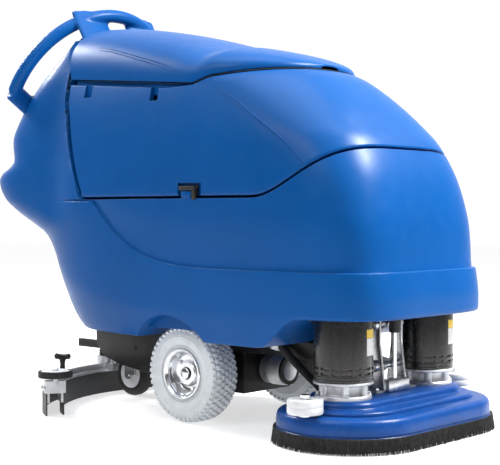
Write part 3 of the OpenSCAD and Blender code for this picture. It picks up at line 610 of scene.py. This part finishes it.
def body_rings():
    """Rings of the lower body and the rear column as one moulding, from the foot to the column's top."""
    behind = body_points(np.full(AROUND, COLUMN_FOOT))[:, 0] < SEAM_X
    foot = settle(bottom_edge, body_points, 240)
    top = np.where(behind, COLUMN_FOOT, settle(tank_edge, body_points, 640))
    style = np.minimum(settle(style_line, body_points, 400), top - 8)
    x0 = body_points(top)[:, 0]
    rings = [body_points(foot, 7), body_points(foot + 1.5, 2.5), body_points(foot + 5, 0.4)]
    for s in np.linspace(0.05, 1, 22):
        rings.append(body_points(foot + 5 + (style - foot - 6) * s))
    side_only = ease((x0 + 330) / 110)
    for dz, inset in ((0.4, 0.2), (1.2, 1.0), (1.8, 2.2), (2.2, STEP + 1.6), (4.2, STEP + 2)):
        rings.append(body_points(style + dz, inset * side_only))
    for s in np.linspace(0.06, 1, 20):
        z = style + 4.2 + (top - style - 5.2) * s
        fade = 1 - ease((z - style) / 130)
        rings.append(body_points(z, (STEP + 2) * fade * side_only))
    # The top under the tank, closing in to the seam's foot while the column starts behind it.
    column_x = SEAM_X - SHELL_GAP
    for s in np.linspace(0.02, 1, 12):
        x = column_x + (x0 - column_x) * (1 - s)
        z = np.where(behind, COLUMN_FOOT + 40 * s, tank_edge(x))
        ring = body_points(np.where(behind, z, COLUMN_FOOT))
        half = np.minimum(np.abs(rings[-1][:, 1]) * (0.985 if s < 0.05 else 1), SHELF_HALF)
        ring[:, 0] = np.where(behind, ring[:, 0], x)
        ring[:, 1] = np.where(behind, ring[:, 1], np.sign(ring[:, 1]) * half)
        ring[:, 2] = z
        rings.append(ring)
    # The column, flat against the seam in front.
    start = rings[-1][:, 2]
    y_front = np.abs(rings[-1][:, 1])
    for s in np.linspace(0.03, 1, 44):
        z = start + (COLUMN_TOP - start) * s
        ring = body_points(z)
        seam = seam_of(z) - SHELL_GAP
        half = np.abs(body_half(seam, z))
        front_y = np.sign(ring[:, 1]) * np.minimum(y_front / SHELF_HALF * (half - 4), half)
        ring[:, 0] = np.where(behind, np.minimum(ring[:, 0], seam), seam)
        ring[:, 1] = np.where(behind, ring[:, 1], front_y)
        rings.append(ring)
    for rise, inset in ((1.5, 4), (3.5, 12)):
        ring = rings[-1].copy()
        ring[:, 0] += np.sign(-375 - ring[:, 0]) * inset * 0.6
        ring[:, 1] -= np.sign(ring[:, 1]) * np.minimum(inset, np.abs(ring[:, 1]) * 0.5)
        ring[:, 2] += rise
        rings.append(ring)
    return rings


def add_body():
    """The lower body and rear column, hollowed for what they hold, and the ears of the lever."""
    body = loft("body_shell", body_rings(), BLUE, smooth=30)
    cutters = [
        box_mesh("bay", (-195, -262, 240), (380, 262, 640), BLUE),
        box_mesh("front_chamber", (415, -200, 430), (520, 200, 730), BLUE),
        tiers("motor_bay", 88, 160, [(200, 0), (410, 0)], BLUE, DECK_X + 7),
        box_mesh("lift_bay", (390, -60, 199), (555, 60, 409), BLUE),
        box_mesh("machine_room", (-560, -190, 585), (-330, 190, 800), BLUE),
        box_mesh("console_seat", (-665, -165, 904), (-365, 165, 1004), BLUE,
                 Matrix.Rotation(math.radians(-45), 4, "Y"), CONSOLE_AT),
    ]
    for side in (-1, 1):
        arch = [(0, 0), (152, 0), (152, 185), (0, 185)]
        y = side * (BODY_HALF + 30)
        cutters.append(revolve("arch", arch, (AXLE[0], y, AXLE[2]), BLUE, "Y", 96, flip=-side))
    cut(body, cutters, 30)
    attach(body, "machine")
    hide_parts("lower_body", "rear_column")
    for y in (108, 144):
        ear = box_mesh(f"lever_ear_{y}", (-698, y, 698), (-640, y + 8, 734), BLUE)
        soften(ear, 3)
        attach(ear, "machine")


def soften(obj, width, segments=3):
    """Rounds the edges of a plain solid."""
    mod = obj.modifiers.new("soften", "BEVEL")
    mod.width = width * MM
    mod.segments = segments
    mod.limit_method = "ANGLE"
    apply_modifiers(obj)
    tidy_mesh(obj, 50)


# ---------------------------------------------------------------- recovery tank and lid

def tank_points(z, inset=0.0):
    """One ring of the tank at heights z: square at the seam behind, rounded at the nose."""
    ahead = np.cos(TURNS) >= 0
    cx, cy = square_turn(TURNS, np.where(ahead, nose_of(z), 70))
    reach = np.where(ahead, front_of(z) - MID_X, MID_X - seam_of(z))
    half = BODY_HALF + side_of(z)
    return np.stack([MID_X + (reach - inset) * cx, (half - inset) * cy, z], -1)


TANK_LOW = settle(lambda x: tank_edge(x) + SHELL_GAP, tank_points, 640)
TANK_HIGH = settle(lambda x: lid_edge(x) - SHELL_GAP, tank_points, 870)


def tank_ring(share, inset=0.0, rise=0.0):
    """A ring at a share of the way from the tank's lower edge to its upper edge."""
    return tank_points(TANK_LOW + (TANK_HIGH - TANK_LOW) * share + rise, inset)


def add_tank():
    """The tank's wall with a groove under the lid, a recess for the latch and finger notches."""
    rings = [tank_ring(0, 6), tank_ring(0, 2.0, 1.0), tank_ring(0, 0.3, 4.5)]
    rings += [tank_ring(s) for s in np.linspace(0.025, 0.93, 40)]
    x0 = tank_points(TANK_HIGH)[:, 0]
    groove = 3 + 9 * (1 - ease((x0 - 60) / 110))
    for rise, inset in ((-groove - 1.5, 0.2), (-groove, 2.0), (-groove + 0.4, 12.5), (0, 13.0)):
        rings.append(tank_ring(1, inset, rise))
    rings += [tank_ring(1, 15), tank_ring(0.75, 14), tank_ring(0.5, 13), tank_ring(0.25, 13),
              tank_ring(0, 13, 14)]
    tank = loft("tank_shell", rings, BLUE, smooth=30)
    cutters = [box_mesh("latch_recess", (142, -320, 552), (222, -287, 604), BLUE)]
    for x in NOTCHES:
        low = lid_edge(x) - 50
        cutters.append(box_mesh(f"notch_{x}", (x - 15, -310, low), (x + 15, -263, low + 60), BLUE))
    cut(tank, cutters, 30)
    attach(tank, "tank")
    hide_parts("recovery_tank")
    for i, rise in enumerate((0, 7)):
        add_pinstripe(f"tank_pinstripe_{i}", TANK_STRIPE, rise, shell_half, "tank")


def add_pinstripe(name, stripe, rise, half_at, body):
    """A fine raised line moulded on the right side, through points given by place and height."""
    path, _ = smooth_route([(x, 0, z) for x, z in stripe], 60)
    for i, p in enumerate(path):
        closing = 1 - i / len(path) if body == "tank" else 1
        p[2] -= rise * (0.35 + 0.65 * closing)
        p[1] = -half_at(p[0], p[2]) + 0.4
    radii = 2.0 * np.sin(np.linspace(0.02, math.pi - 0.02, len(path))) ** 0.4
    line = sweep(name, path, radii, BLUE, sides=8)
    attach(line, body)


def lid_crown(x):
    """How high the lid stands over its lower edge."""
    return 160 * np.maximum(0, 1 - np.maximum(0, (x + 330) / 720) ** 2) ** 0.8


def lid_half(x):
    return shell_half(x, lid_edge(x))


def lid_side(x, z):
    """Half width of the lid's outside at a place and height."""
    return lid_half(x) * power_curve((z - lid_edge(x)) / lid_crown(x), 2.5)


def lid_section(x):
    """One arch of the lid, outside and then inside, with a small lip along its lower edge."""
    w, h, z = lid_half(x), lid_crown(x), lid_edge(x)
    lean = 0.15 * h * (1 - ease((x + 314) / 60))
    turn = math.pi * np.arange(65) / 64
    cx, cy = square_turn(turn, 2.5)
    shell = np.clip(h / 25, 0.1, 1)
    outer = np.stack([x - lean * cy, w * cx, z + h * cy], -1)
    thin = max(0.02, 1 - 10 * shell / max(w, 11))
    inner = np.stack([x - lean * cy, thin * w * cx, z + (h - 8 * min(1, h / 20)) * cy], -1)[::-1]
    lip = np.array([[x, -(w - 1.5), z - 1.2], [x, -(w - 4), z - 1.6]])
    other = lip[::-1] * (1, -1, 1)
    return np.concatenate([outer, lip, inner, other])


def add_lid():
    """The lid, lofted along the machine, with its pinstripes."""
    stations = np.concatenate([[-314, -312, -308], np.linspace(-300, 340, 56),
                               np.linspace(346, 376, 9), [378.5]])
    lid = loft("lid_shell", [lid_section(x) for x in stations], BLUE, smooth=40)
    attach(lid, "lid")
    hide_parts("tank_lid")
    for i, rise in enumerate((0, 7)):
        add_pinstripe(f"lid_pinstripe_{i}", LID_STRIPE, rise, lid_side, "lid")


# ---------------------------------------------------------------- deck

def racetrack(radius, half_pitch, x=DECK_X, z=0.0, count=128):
    """An outline across the machine: two half circles joined by straight sides."""
    turn = 2 * math.pi * (np.arange(count) + 0.5) / count
    return np.stack([x + radius * np.cos(turn), radius * np.sin(turn) + half_pitch * np.sign(np.sin(turn)),
                     np.full(count, z)], -1)


def tiers(name, radius, half_pitch, levels, finish, x=DECK_X):
    """A solid of racetrack outlines, each level given by height and inset."""
    return loft(name, [racetrack(radius - inset, half_pitch, x, z) for z, inset in levels], finish,
                smooth=40)


def add_deck():
    """The lower tier as one moulding, and the upper tier with its hump and step melted together."""
    pocket = [(66, 8), (30.2, 7), (30, 6), (30, 1.5), (31.5, 0), (36, 0.4), (37.5, 2.0), (40, 2.2), (41, 0.6)]
    wall = [(52, 0.3), (62, 1.2), (68, 2.6), (72.5, 5.2), (75.8, 9.2), (77.6, 14), (78, 19), (78, 40)]
    lower = tiers("deck_skirt_shell", TIER_R, DECK_Y, pocket + wall, DECK_BLUE)
    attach(lower, "deck")
    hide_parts("deck_lower")
    body = tiers("deck_top", 91, 158, [(74, 0), (92, 1), (99, 3), (103, 7), (105, 12)], DECK_BLUE)
    step = tiers("deck_step", 128, 148, [(70, 0), (82, 0.5), (86, 3), (88, 8), (88, 20)], DECK_BLUE)
    profile = [(0, 72), (37, 72), (36, 90), (33, 98), (26, 102.5), (0, 104)]
    hump = revolve("deck_hump", profile, (DECK_X - 95, -120, 0), DECK_BLUE)
    upper = join("deck_upper_shell", [body, step, hump])
    melt(upper, 2.4, 2)
    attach(upper, "deck")
    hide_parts("deck_upper")


def add_bristles():
    """The skirt's rows of bristles, a little splayed and uneven, on a dark backing strip."""
    rng = np.random.default_rng(7)
    backing = tiers("bristle_backing", SKIRT_R - 2.2, DECK_Y,
                    [(6, 6), (6, 0.5), (33, 0), (36, 1.5), (36, 6)], BRISTLE)
    backing_inner = tiers("backing_hole", TIER_R + 0.5, DECK_Y, [(-5, 0), (45, 0)], BRISTLE)
    cut(backing, [backing_inner])
    straight = 4 * DECK_Y
    length = straight + 2 * math.pi * SKIRT_R
    points, faces = [], []
    for row, (inset, rows_step) in enumerate(((1.2, 2.3), (2.8, 2.5), (4.6, 2.7))):
        count = int(length / rows_step)
        for i in range(count):
            s = (i + rng.uniform(0.1, 0.9)) / count * length
            x, y, nx, ny = track_point(s, SKIRT_R - inset)
            foot = rng.uniform(0.2, 2.6)
            top = 37 + rng.uniform(-1.5, 0.0)
            splay = rng.normal(4.2, 1.5) - inset * 0.5
            side = rng.normal(0, 1.0)
            width = rng.uniform(0.55, 0.95)
            tx, ty = -ny, nx
            base = len(points)
            for z, out, along, w in ((top, 0, 0, width), (foot, splay, side, width * 0.8)):
                for a, b in ((1, 0), (-0.6, 0.9), (-0.6, -0.9)):
                    points.append((x + nx * (out + a * w) + tx * (along + b * w),
                                   y + ny * (out + a * w) + ty * (along + b * w), z))
            faces += [(base, base + 1, base + 4, base + 3), (base + 1, base + 2, base + 5, base + 4),
                      (base + 2, base, base + 3, base + 5), (base + 2, base + 1, base),
                      (base + 3, base + 4, base + 5)]
    rows = mesh_object("bristle_rows", points, faces, BRISTLE)
    skirt = join("bristles", [backing, rows])
    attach(skirt, "deck")
    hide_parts("bristle_skirt")


def track_point(s, radius):
    """Place and outward direction at a distance along the skirt's outline."""
    arc = math.pi * radius
    full = 2 * arc + 4 * DECK_Y
    s = (s * full / (2 * math.pi * SKIRT_R + 4 * DECK_Y)) % full
    if s < arc:
        a = s / radius
        return DECK_X + radius * math.cos(a), DECK_Y + radius * math.sin(a), math.cos(a), math.sin(a)
    s -= arc
    if s < 2 * DECK_Y:
        return DECK_X - radius, DECK_Y - s, -1, 0
    s -= 2 * DECK_Y
    if s < arc:
        a = math.pi + s / radius
        return DECK_X + radius * math.cos(a), -DECK_Y + radius * math.sin(a), math.cos(a), math.sin(a)
    s -= arc
    return DECK_X + radius, -DECK_Y + s, 1, 0


# ---------------------------------------------------------------- motors and gearboxes

def add_motors():
    """Two black cans with cooling slots over their windings, on cast gearboxes, each with a label."""
    cans, boxes, windings = [], [], []
    for side, side_name in SIDES:
        at = (DECK_X, side * BRUSH_Y, 0)
        profile = [(0, 334), (37, 334), (40, 331.5), (40, 322.5), (64, 322), (68, 319.5), (69, 315),
                   (69, 160.5), (67.6, 160), (67.6, 158.5), (69, 158), (69, 153.5), (67.6, 153),
                   (67.6, 151.5), (69, 151), (69, 147), (67.5, 145), (0, 145)]
        can = revolve("can", profile, at, MOTOR_BLACK, steps=96, smooth=40)
        slots = []
        for z in (165, 177):
            for i in range(8):
                turn = math.radians(45 * i + 22)
                for k in (-1, 0, 1):
                    slots.append(motor_slot(at, turn + k * SLOT_TURN, z))
        cut(can, slots, 40)
        cans.append(can)
        ring = [(64.6, 160), (65.2, 160), (65.2, 184), (64.6, 184), (64.6, 160)]
        windings.append(revolve("winding", ring, at, WINDING, steps=96))
        boxes.append(gearbox(at))
        add_label(f"motor_label_{side_name}", at)
    motors = join("motor_cans", cans)
    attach(motors, "deck")
    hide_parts("brush_motors")
    inside = join("motor_windings", windings)
    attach(inside, "deck")
    gears = join("gearbox_castings", boxes)
    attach(gears, "deck")
    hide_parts("gearboxes")


def motor_slot(at, turn, z):
    """A cutter for one slot through the can's wall."""
    x, y, _ = at
    spin = Matrix.Rotation(turn, 4, "Z")
    return box_mesh("slot", (x + 62, y - 7.5, z - 2.8), (x + 75, y + 7.5, z + 2.8), MOTOR_BLACK, spin,
                    (x, y, z))


def gearbox(at):
    """Cast housing: a wide flange under the motor, a drum with upright ribs, and a foot."""
    profile = [(0, 145), (68, 145), (70, 143.5), (70, 139.5), (68, 138), (54, 137.5), (50, 134), (49, 118),
               (51, 114.5), (64, 114), (66, 112), (66, 107), (66, 105), (0, 105)]
    parts = [revolve("drum", profile, at, CAST, steps=72)]
    for i in range(6):
        turn = math.radians(60 * i + 12)
        post = [(0, 138.5), (10, 138.5), (10, 113), (0, 113)]
        place = (at[0] + 52 * math.cos(turn), at[1] + 52 * math.sin(turn), 0)
        parts.append(revolve("post", post, place, CAST, steps=20))
    for i in range(4):
        turn = math.radians(45 + 90 * i)
        place = (at[0] + 58 * math.cos(turn), at[1] + 58 * math.sin(turn), 0)
        parts.append(hex_head("gear_bolt", place, 114, 6, 6))
    return join("gearbox", parts)


def hex_head(name, at, z, radius, height):
    """A bolt head with a washer under it and a chamfered top, at height z."""
    rim = radius * 1.5
    washer = revolve("washer", [(0, z), (rim, z), (rim, z + 1), (0, z + 1)], at, BRIGHT_STEEL, steps=24)
    turn = math.pi / 3 * np.arange(6)
    rings = [arc_points(at, r * radius, turn, z + h)
             for h, r in ((1, 1.0), (height * 0.85, 1.0), (height, 0.86))]
    return join(name, [washer, loft("head", rings, BRIGHT_STEEL)])


def arc_points(at, radius, turn, z):
    """Points at angles round an upright axis."""
    return np.stack([at[0] + radius * np.cos(turn), at[1] + radius * np.sin(turn),
                     np.full(len(turn), z)], -1)


def add_label(name, at):
    """A blank sticker on the can's side: a yellow field over a white one."""
    turn = np.radians(np.linspace(-2, 27, 16))
    for part, low, high, finish in (("top", 246, 266, YELLOW), ("base", 206, 245.4, LABEL_WHITE)):
        rings = [np.concatenate([arc_points(at, 69.5, turn, z), arc_points(at, 69.05, turn, z)[::-1]])
                 for z in np.linspace(low, high, 6)]
        patch = loft(f"{name}_{part}", rings, finish)
        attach(patch, "deck")


def add_bumper_rollers():
    """Grey rollers at the deck's sides, with a groove round the middle."""
    profile = [(7.1, 85), (12, 84.6), (36, 84.2), (39.5, 85), (41, 87.5), (41, 99.5), (40.2, 101),
               (41, 102.5), (41, 114.5), (39.5, 117), (36, 117.8), (14, 117.4), (12.5, 116), (7.1, 116),
               (7.1, 85)]
    for side, side_name in SIDES:
        body, node = f"bumper_{side_name[0]}", f"bumper_roller_{side_name}"
        roller = revolve(f"{node}_moulding", profile, (DECK_X, side * ROLLER_Y, 0), GREY_PLASTIC)
        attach(roller, body)
        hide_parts(node)


# ---------------------------------------------------------------- hoses

def corrugated(name, route, radius, pitch, depth, sides=24):
    """A ribbed hose: the radius rises and falls once for each pitch."""
    _, length = smooth_route(route, 8)
    count = int(length / pitch) * 6 + 1
    path, _ = smooth_route(route, count)
    phase = np.arange(count) / 6 * 2 * math.pi
    radii = radius - depth * (0.5 - 0.5 * np.cos(phase)) ** 1.4
    return sweep(name, path, radii, RUBBER, sides=sides, smooth=60)


def add_hoses():
    """Two hoses that stretch between the bodies they join, and the drain hose with its plug."""
    solution = corrugated("solution_hose_ribbed", SOLUTION_ROUTE, radius=10.4, pitch=4.6, depth=2.2)
    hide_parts("solution_hose")
    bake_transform(solution)
    vacuum = corrugated("vacuum_hose_ribbed", VACUUM_ROUTE, radius=20.5, pitch=8.0, depth=3.4,
                        sides=32)
    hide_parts("vacuum_hose")
    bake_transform(vacuum)
    drain = corrugated("drain_hose_ribbed", DRAIN_ROUTE, radius=20.5, pitch=7.0, depth=2.6, sides=32)
    profile = [(0, 671), (22, 671), (23, 668), (23, 660), (20, 657), (9, 656), (8, 646), (0, 645)]
    plug = revolve("drain_plug", profile, DRAIN_ROUTE[-1][:2] + (0,), BLACK_PLASTIC, steps=36)
    hose = join("drain_hose_and_plug", [drain, plug])
    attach(hose, "machine")
    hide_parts("drain_hose")


# ---------------------------------------------------------------- handle

def add_handle():
    """A hoop of round bar, with two side webs and two top webs that run into the rear column."""
    lean = Matrix.Rotation(math.radians(HOOP_LEAN), 4, "Y")
    path = []
    for a in np.radians(np.linspace(0, 180, 73)):
        flat = Vector((-math.sin(a) * HOOP_R, math.cos(a) * HOOP_R, 0))
        path.append(np.array(lean @ flat) + HOOP_AT)
    parts = [sweep("bar", path, [19.0] * len(path), BLUE, sides=28, up=(0.857, 0.02, 0.515))]
    for side in (-1, 1):
        corner = np.array([HOOP_AT[0], side * HOOP_R, HOOP_AT[2]])
        inner = corner + (8, -side * 112, -84)
        parts.append(plate_strut("web", corner + (2, side * 4, 0), inner, 58, 34))
        parts.append(plate_strut("top_web", np.array([-380, side * 92, 1004]),
                                 np.array([-437, side * 96, 1104]), 122, 26))
    hoop = join("handle_moulding", parts)
    melt(hoop, 4.0, 5)
    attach(hoop, "machine")
    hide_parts("handle_hoop")


def plate_strut(name, start, end, width, depth):
    """A rounded bar between two points, wide across the machine's length."""
    d = end - start
    length = np.linalg.norm(d)
    path = [start + d * t for t in np.linspace(-0.04, 1.04, 8)]
    flat = abs(d[1]) < abs(d[2])
    across = np.cross(d / length, (0, 1, 0)) if flat else np.array([1.0, 0, 0])
    return sweep(name, path, [1.0] * 8, BLUE, sides=28, section=(width / 2, depth / 2), up=across)


# ---------------------------------------------------------------- wheels

def add_drive_wheel(side, name):
    """A block-tread tyre with two ribs on each wall, a dished rim and a domed hub cap."""
    at = (AXLE[0], side * AXLE[1], AXLE[2])
    carcass = [(59, 34), (64, 37.5), (78, 41.5), (94, 43), (106, 41), (114, 36), (118, 28), (119.5, 14),
               (120, 0)]
    profile = carcass + [(r, -h) for r, h in carcass[-2::-1]] + [(59, -34), (59, 34)]
    parts = [revolve("carcass", profile, at, TYRE, "Y", 120, 50)]
    parts.append(tread(at))
    for r, foot, crest, far_foot in ((70, 40.2, 42.2, 40.6), (92, 42.6, 44, 42.8)):
        rib = [(r, foot), (r + 1.5, crest), (r + 3, far_foot), (r, foot)]
        for face in (-1, 1):
            parts.append(revolve("rib", rib, at, TYRE, "Y", 120, 50, face))
    tyre = join(f"tyre_{name}_treaded", parts)
    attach(tyre, f"wheel_{name}")
    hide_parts(f"tyre_{name}")
    dish = [(15.1, -33), (34, -34), (40, -12), (48, -14), (57, -36), (60, -38), (62.5, -36.5), (60.5, -33),
            (58.4, -30), (58.4, 30), (60.5, 34), (63.5, 37), (64.5, 40), (63, 42.4), (59.5, 42.6), (56, 40),
            (52.5, 33), (49.5, 17), (46.5, 12), (40, 9.5), (34, 10), (31.5, 12), (30, 21), (27.5, 23.5),
            (16.5, 24), (15.1, 22), (15.1, -33)]
    rim = revolve(f"rim_{name}_dished", dish, at, BRIGHT_STEEL, "Y", 96, 30, side)
    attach(rim, f"wheel_{name}")
    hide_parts(f"rim_{name}")
    cap = [(0, 27), (8, 26.5), (13.5, 24.6), (14.8, 22), (14.8, 12), (0, 12)]
    hub = revolve(f"hub_cap_{name}", [(r, h + 6) for r, h in cap], at, BRIGHT_STEEL, "Y", 40, 40, side)
    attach(hub, f"wheel_{name}")


def tread(at):
    """Rows of small blocks round the tyre, each row half a step on from the last."""
    points, faces = [], []          # each row: place across, radius, slope and width
    rows = ((-37, 112.5, 0.80, 9), (-26, 118, 0.32, 10), (-13, 119.4, 0.06, 10), (0, 119.8, 0, 10),
            (13, 119.4, -0.06, 10), (26, 118, -0.32, 10), (37, 112.5, -0.80, 9))
    for row, (y, radius, slope, width) in enumerate(rows):
        for i in range(TREAD_BLOCKS):
            turn = 2 * math.pi * (i + 0.5 * (row % 2)) / TREAD_BLOCKS
            add_block(points, faces, at, turn, y, radius, slope, width)
    return mesh_object("tread", points, faces, TYRE, smooth=20)


def add_block(points, faces, at, turn, y, radius, slope, width):
    """One block with a narrower top, leaning over the tyre's shoulder by its slope."""
    level = math.cos(slope)
    out = np.array([math.cos(turn) * level, -math.sin(slope), math.sin(turn) * level])
    around = np.array([-math.sin(turn), 0, math.cos(turn)])
    across = np.cross(out, around)
    centre = np.array(at, float) + np.array([radius * math.cos(turn), y, radius * math.sin(turn)])
    base = len(points)
    for h, grow in ((-1.5, 1.0), (BLOCK_HEIGHT * 0.75, 0.9), (BLOCK_HEIGHT, 0.72)):
        for a, b in ((-1, -1), (1, -1), (1, 1), (-1, 1)):
            p = centre + out * h + around * a * BLOCK_HALF * grow + across * b * width / 2 * grow
            points.append(tuple(p))
    for r in (0, 4):
        for k in range(4):
            n = (k + 1) % 4
            faces.append((base + r + k, base + r + n, base + r + 4 + n, base + r + 4 + k))
    faces.append(tuple(base + k for k in (3, 2, 1, 0)))
    faces.append(tuple(base + 8 + k for k in range(4)))


def add_caster_tyre():
    """A solid black tyre with a fine parting groove."""
    profile = [(40, 17), (48, 18.6), (56, 17.5), (60.5, 13.5), (62.5, 7), (62.5, 1.2), (61.6, 0),
               (62.5, -1.2), (62.5, -7), (60.5, -13.5), (56, -17.5), (48, -18.6), (40, -17), (40, 17)]
    tyre = revolve("caster_tyre_moulding", profile, CASTER_AXLE, RUBBER, "Y", 72, 50)
    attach(tyre, "caster_wheel")
    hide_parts("caster_tyre")


# ---------------------------------------------------------------- under the body

def plate(name, outline, y, thick, finish, soft=1.5):
    """An upright plate along the machine: an outline of (x, z) points, thick along y."""
    count = len(outline)
    points = [(x, y + out, z) for out in (0, thick) for x, z in outline]
    faces = [tuple(range(count)), tuple(range(2 * count - 1, count - 1, -1))]
    faces += [(k, (k + 1) % count, count + (k + 1) % count, count + k) for k in range(count)]
    obj = mesh_object(name, points, faces, finish)
    soften(obj, soft, 2)
    return obj


def rounded_outline(corners, radius=8, steps=5):
    """A closed outline with its corners rounded."""
    out = []
    for i, p in enumerate(corners):
        p = np.array(p, float)
        before, after = np.array(corners[i - 1], float), np.array(corners[(i + 1) % len(corners)], float)
        a = p + (before - p) / np.linalg.norm(before - p) * radius
        b = p + (after - p) / np.linalg.norm(after - p) * radius
        for t in np.linspace(0, 1, steps):
            out.append(tuple((1 - t) ** 2 * a + 2 * t * (1 - t) * p + t * t * b))
    return out


def add_underbody():
    """Black side aprons over the caster, partly chassis and partly a dark sheet as painted shade under the
    body, brackets by the motors and the lift tower's tapered plates.
    """
    shade_apron = [(-352, 219), (-350, 165), (-318, 128), (-240, 108), (-150, 98), (-70, 98), (-40, 140),
             (-30, 219)]
    bracket = [(300, 219), (318, 150), (352, 118), (392, 118), (404, 150), (404, 224)]
    for name, shade_apron_y, hanger_y in (("right", -141, -62), ("left", 133, 54)):
        # The aprons are partly real black chassis and partly a dark sheet that paints in the shade under the
        # body.
        shade_apron_plate = plate(f"apron_{name}", rounded_outline(shade_apron), shade_apron_y, 8, BLACK_STEEL)
        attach(shade_apron_plate, "machine")
        hanger = plate(f"hanger_{name}", rounded_outline(bracket), hanger_y, 8, BLACK_STEEL)
        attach(hanger, "machine")
    sleeve = [(0, 252), (22, 252), (30, 248), (38.5, 240), (39.5, 232), (39.5, 200), (38, 198), (37.2, 176),
              (0, 176)]
    sleeve = [(r, x - AXLE[0]) for r, x in sleeve]
    motor = revolve("drive_motor_end", sleeve, (AXLE[0], 0, 124), CAST, "X", 64)
    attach(motor, "machine")
    tower = [(522, 105), (584, 105), (577, 150), (569, 215), (569, 282), (563, 290), (544, 290), (538, 282),
             (538, 215), (529, 150)]
    boss = [(0, 46), (14, 46), (14, 52), (11, 55), (0, 55)]
    parts = []
    for y, out in ((-47, -1), (40, 1)):
        parts.append(plate("tower_plate", rounded_outline(tower, 3, 3), y, 7, STEEL, 0.8))
        for z in (166, 266):
            parts.append(revolve("boss", boss, (DECK_X, 0, z), STEEL, "Y", 32, flip=out))
    for y in (-80, 46):
        foot = [(521, 104.5), (585, 104.5), (585, 111.5), (521, 111.5)]
        parts.append(plate("tower_foot", foot, y, 34, STEEL))
        for x in (535, 571):
            parts.append(hex_head("tower_bolt", (x, y + 17, 0), 111.4, 7, 6))
    bar = [(561, 106), (593, 106), (593, 134), (561, 134)]
    parts.append(plate("cross_bar", bar, -42, 84, STEEL, 2))
    whole = join("lift_tower_plates", parts)
    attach(whole, "deck")
    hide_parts("lift_tower")


def add_latch():
    """The side latch: a black hook with a finger lip, in its recess."""
    hook = [(150, 596), (150, 586), (194, 586), (194, 562), (206, 562), (206, 590), (200, 596)]
    lip = [(152, 584), (190, 584), (186, 566), (156, 566)]
    body = plate("hook", rounded_outline(hook, 4, 4), -304, 12, BLACK_PLASTIC)
    tab = plate("tab", rounded_outline(lip, 4, 4), -300, 9, BLUE)
    pin = revolve("pin", [(0, -32), (3, -32), (3, 32), (0, 32)], (176, -294, 594), BLACK_PLASTIC, "X", 20)
    latch = join("tank_latch_hook", [body, tab, pin])
    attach(latch, "latch")
    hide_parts("tank_latch")


# ---------------------------------------------------------------- squeegee details

def squeegee_place(side, angle, radius, along=0.0):
    """Place on the squeegee's arc at an angle from straight behind, moved along the arc if asked."""
    a = math.radians(180 - side * angle)
    x, y = SQUEEGEE_X + radius * math.cos(a), radius * math.sin(a)
    return x - math.sin(a) * along, y + math.cos(a) * along


def add_squeegee_details():
    """The end rollers with their studs, the wing nuts, and the two clamp knobs as one piece."""
    tyre = [(5.1, 102), (30, 101.4), (43, 101.2), (45, 103), (45, 116), (43.5, 118.6), (38, 118.8),
            (36.5, 117.5), (12, 117.5), (5.1, 117.2), (5.1, 102)]
    face = [(5.2, 117.4), (36, 117.4), (36.5, 118.6), (34, 119.4), (5.2, 119.4), (5.2, 117.4)]
    clamps = []
    for side, side_name in SIDES:
        body, node = f"side_roller_{side_name[0]}", f"side_roller_{side_name}"
        x, y = squeegee_place(side, ROLLER_ANGLE, SQUEEGEE_R - 3, -side * 8)
        roller = revolve(f"{node}_tyre", tyre, (x, y, 0), RUBBER, steps=72)
        disc = revolve("disc", face, (x, y, 0), GREY_PLASTIC, steps=72)
        whole = join(f"{node}_wheel", [roller, disc])
        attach(whole, body)
        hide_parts(node)
        stud = hex_head(f"side_roller_stud_{side_name}", (x, y, 0), 119.6, 7, 6)
        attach(stud, "squeegee")
        add_wing_nut(side, side_name)
        clamps.append(clamp_knob(side))
    knobs = join("squeegee_clamp_knobs", clamps)
    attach(knobs, "squeegee")
    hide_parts("squeegee_knobs")


def add_wing_nut(side, side_name):
    """The wing nut that holds the end bracket to the rubber strip."""
    x, y = squeegee_place(side, ROLLER_ANGLE, SQUEEGEE_R + 24)
    out = Vector((x - SQUEEGEE_X, y, 0)).normalized()
    along = Vector((-out.y, out.x, 0))
    base = Vector((x, y, 72))
    barrel = [base + out * d for d in (-3, 0, 4, 8, 9)]
    parts = [sweep("barrel", barrel, [7, 7, 6.5, 6, 4.5], BRIGHT_STEEL, sides=20, up=(0, 0, 1))]
    for sign in (-1, 1):
        wing = [base + out * (4 + 1.0 * t) + along * sign * (4 + 13 * t) + Vector((0, 0, 5 * t))
                for t in np.linspace(0, 1, 6)]
        parts.append(sweep("wing", wing, [3.4, 3.8, 4.6, 5.2, 4.8, 2.4], BRIGHT_STEEL, sides=14,
                           section=(1, 0.45), up=tuple(out)))
    nut = join(f"wing_nut_{side_name}", parts)
    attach(nut, "squeegee")


def clamp_knob(side):
    """A black T knob on a post: a waisted stem under a barrel-shaped bar."""
    x, y = squeegee_place(side, CLAMP_ANGLE, SQUEEGEE_R - 3)
    out = Vector((x - SQUEEGEE_X, y, 0)).normalized()
    profile = [(0, 84), (13, 84), (13, 87), (8, 90), (7, 104), (9, 116), (14, 119), (14, 123), (0, 123)]
    stem = revolve("stem", profile, (x, y, 0), BLACK_PLASTIC, steps=32)
    middle = Vector((x, y, 126))
    bar = [middle + out * d for d in np.linspace(-23, 23, 13)]
    radii = 7.6 - 1.4 * np.cos(np.linspace(-math.pi, math.pi, 13))
    radii[0] = radii[-1] = 5.0
    grip = sweep("grip", bar, radii, BLACK_PLASTIC, sides=22, up=(0, 0, 1))
    return join(f"clamp_{side}", [stem, grip])


# ---------------------------------------------------------------- everything

add_camera()
add_studio()
finish_cad_nodes()
add_hoses()
add_body()
add_tank()
add_lid()
add_handle()
for wheel_side, wheel_name in SIDES:
    add_drive_wheel(wheel_side, wheel_name)
add_caster_tyre()
add_deck()
add_bristles()
add_motors()
add_bumper_rollers()
add_underbody()
add_latch()
add_squeegee_details()
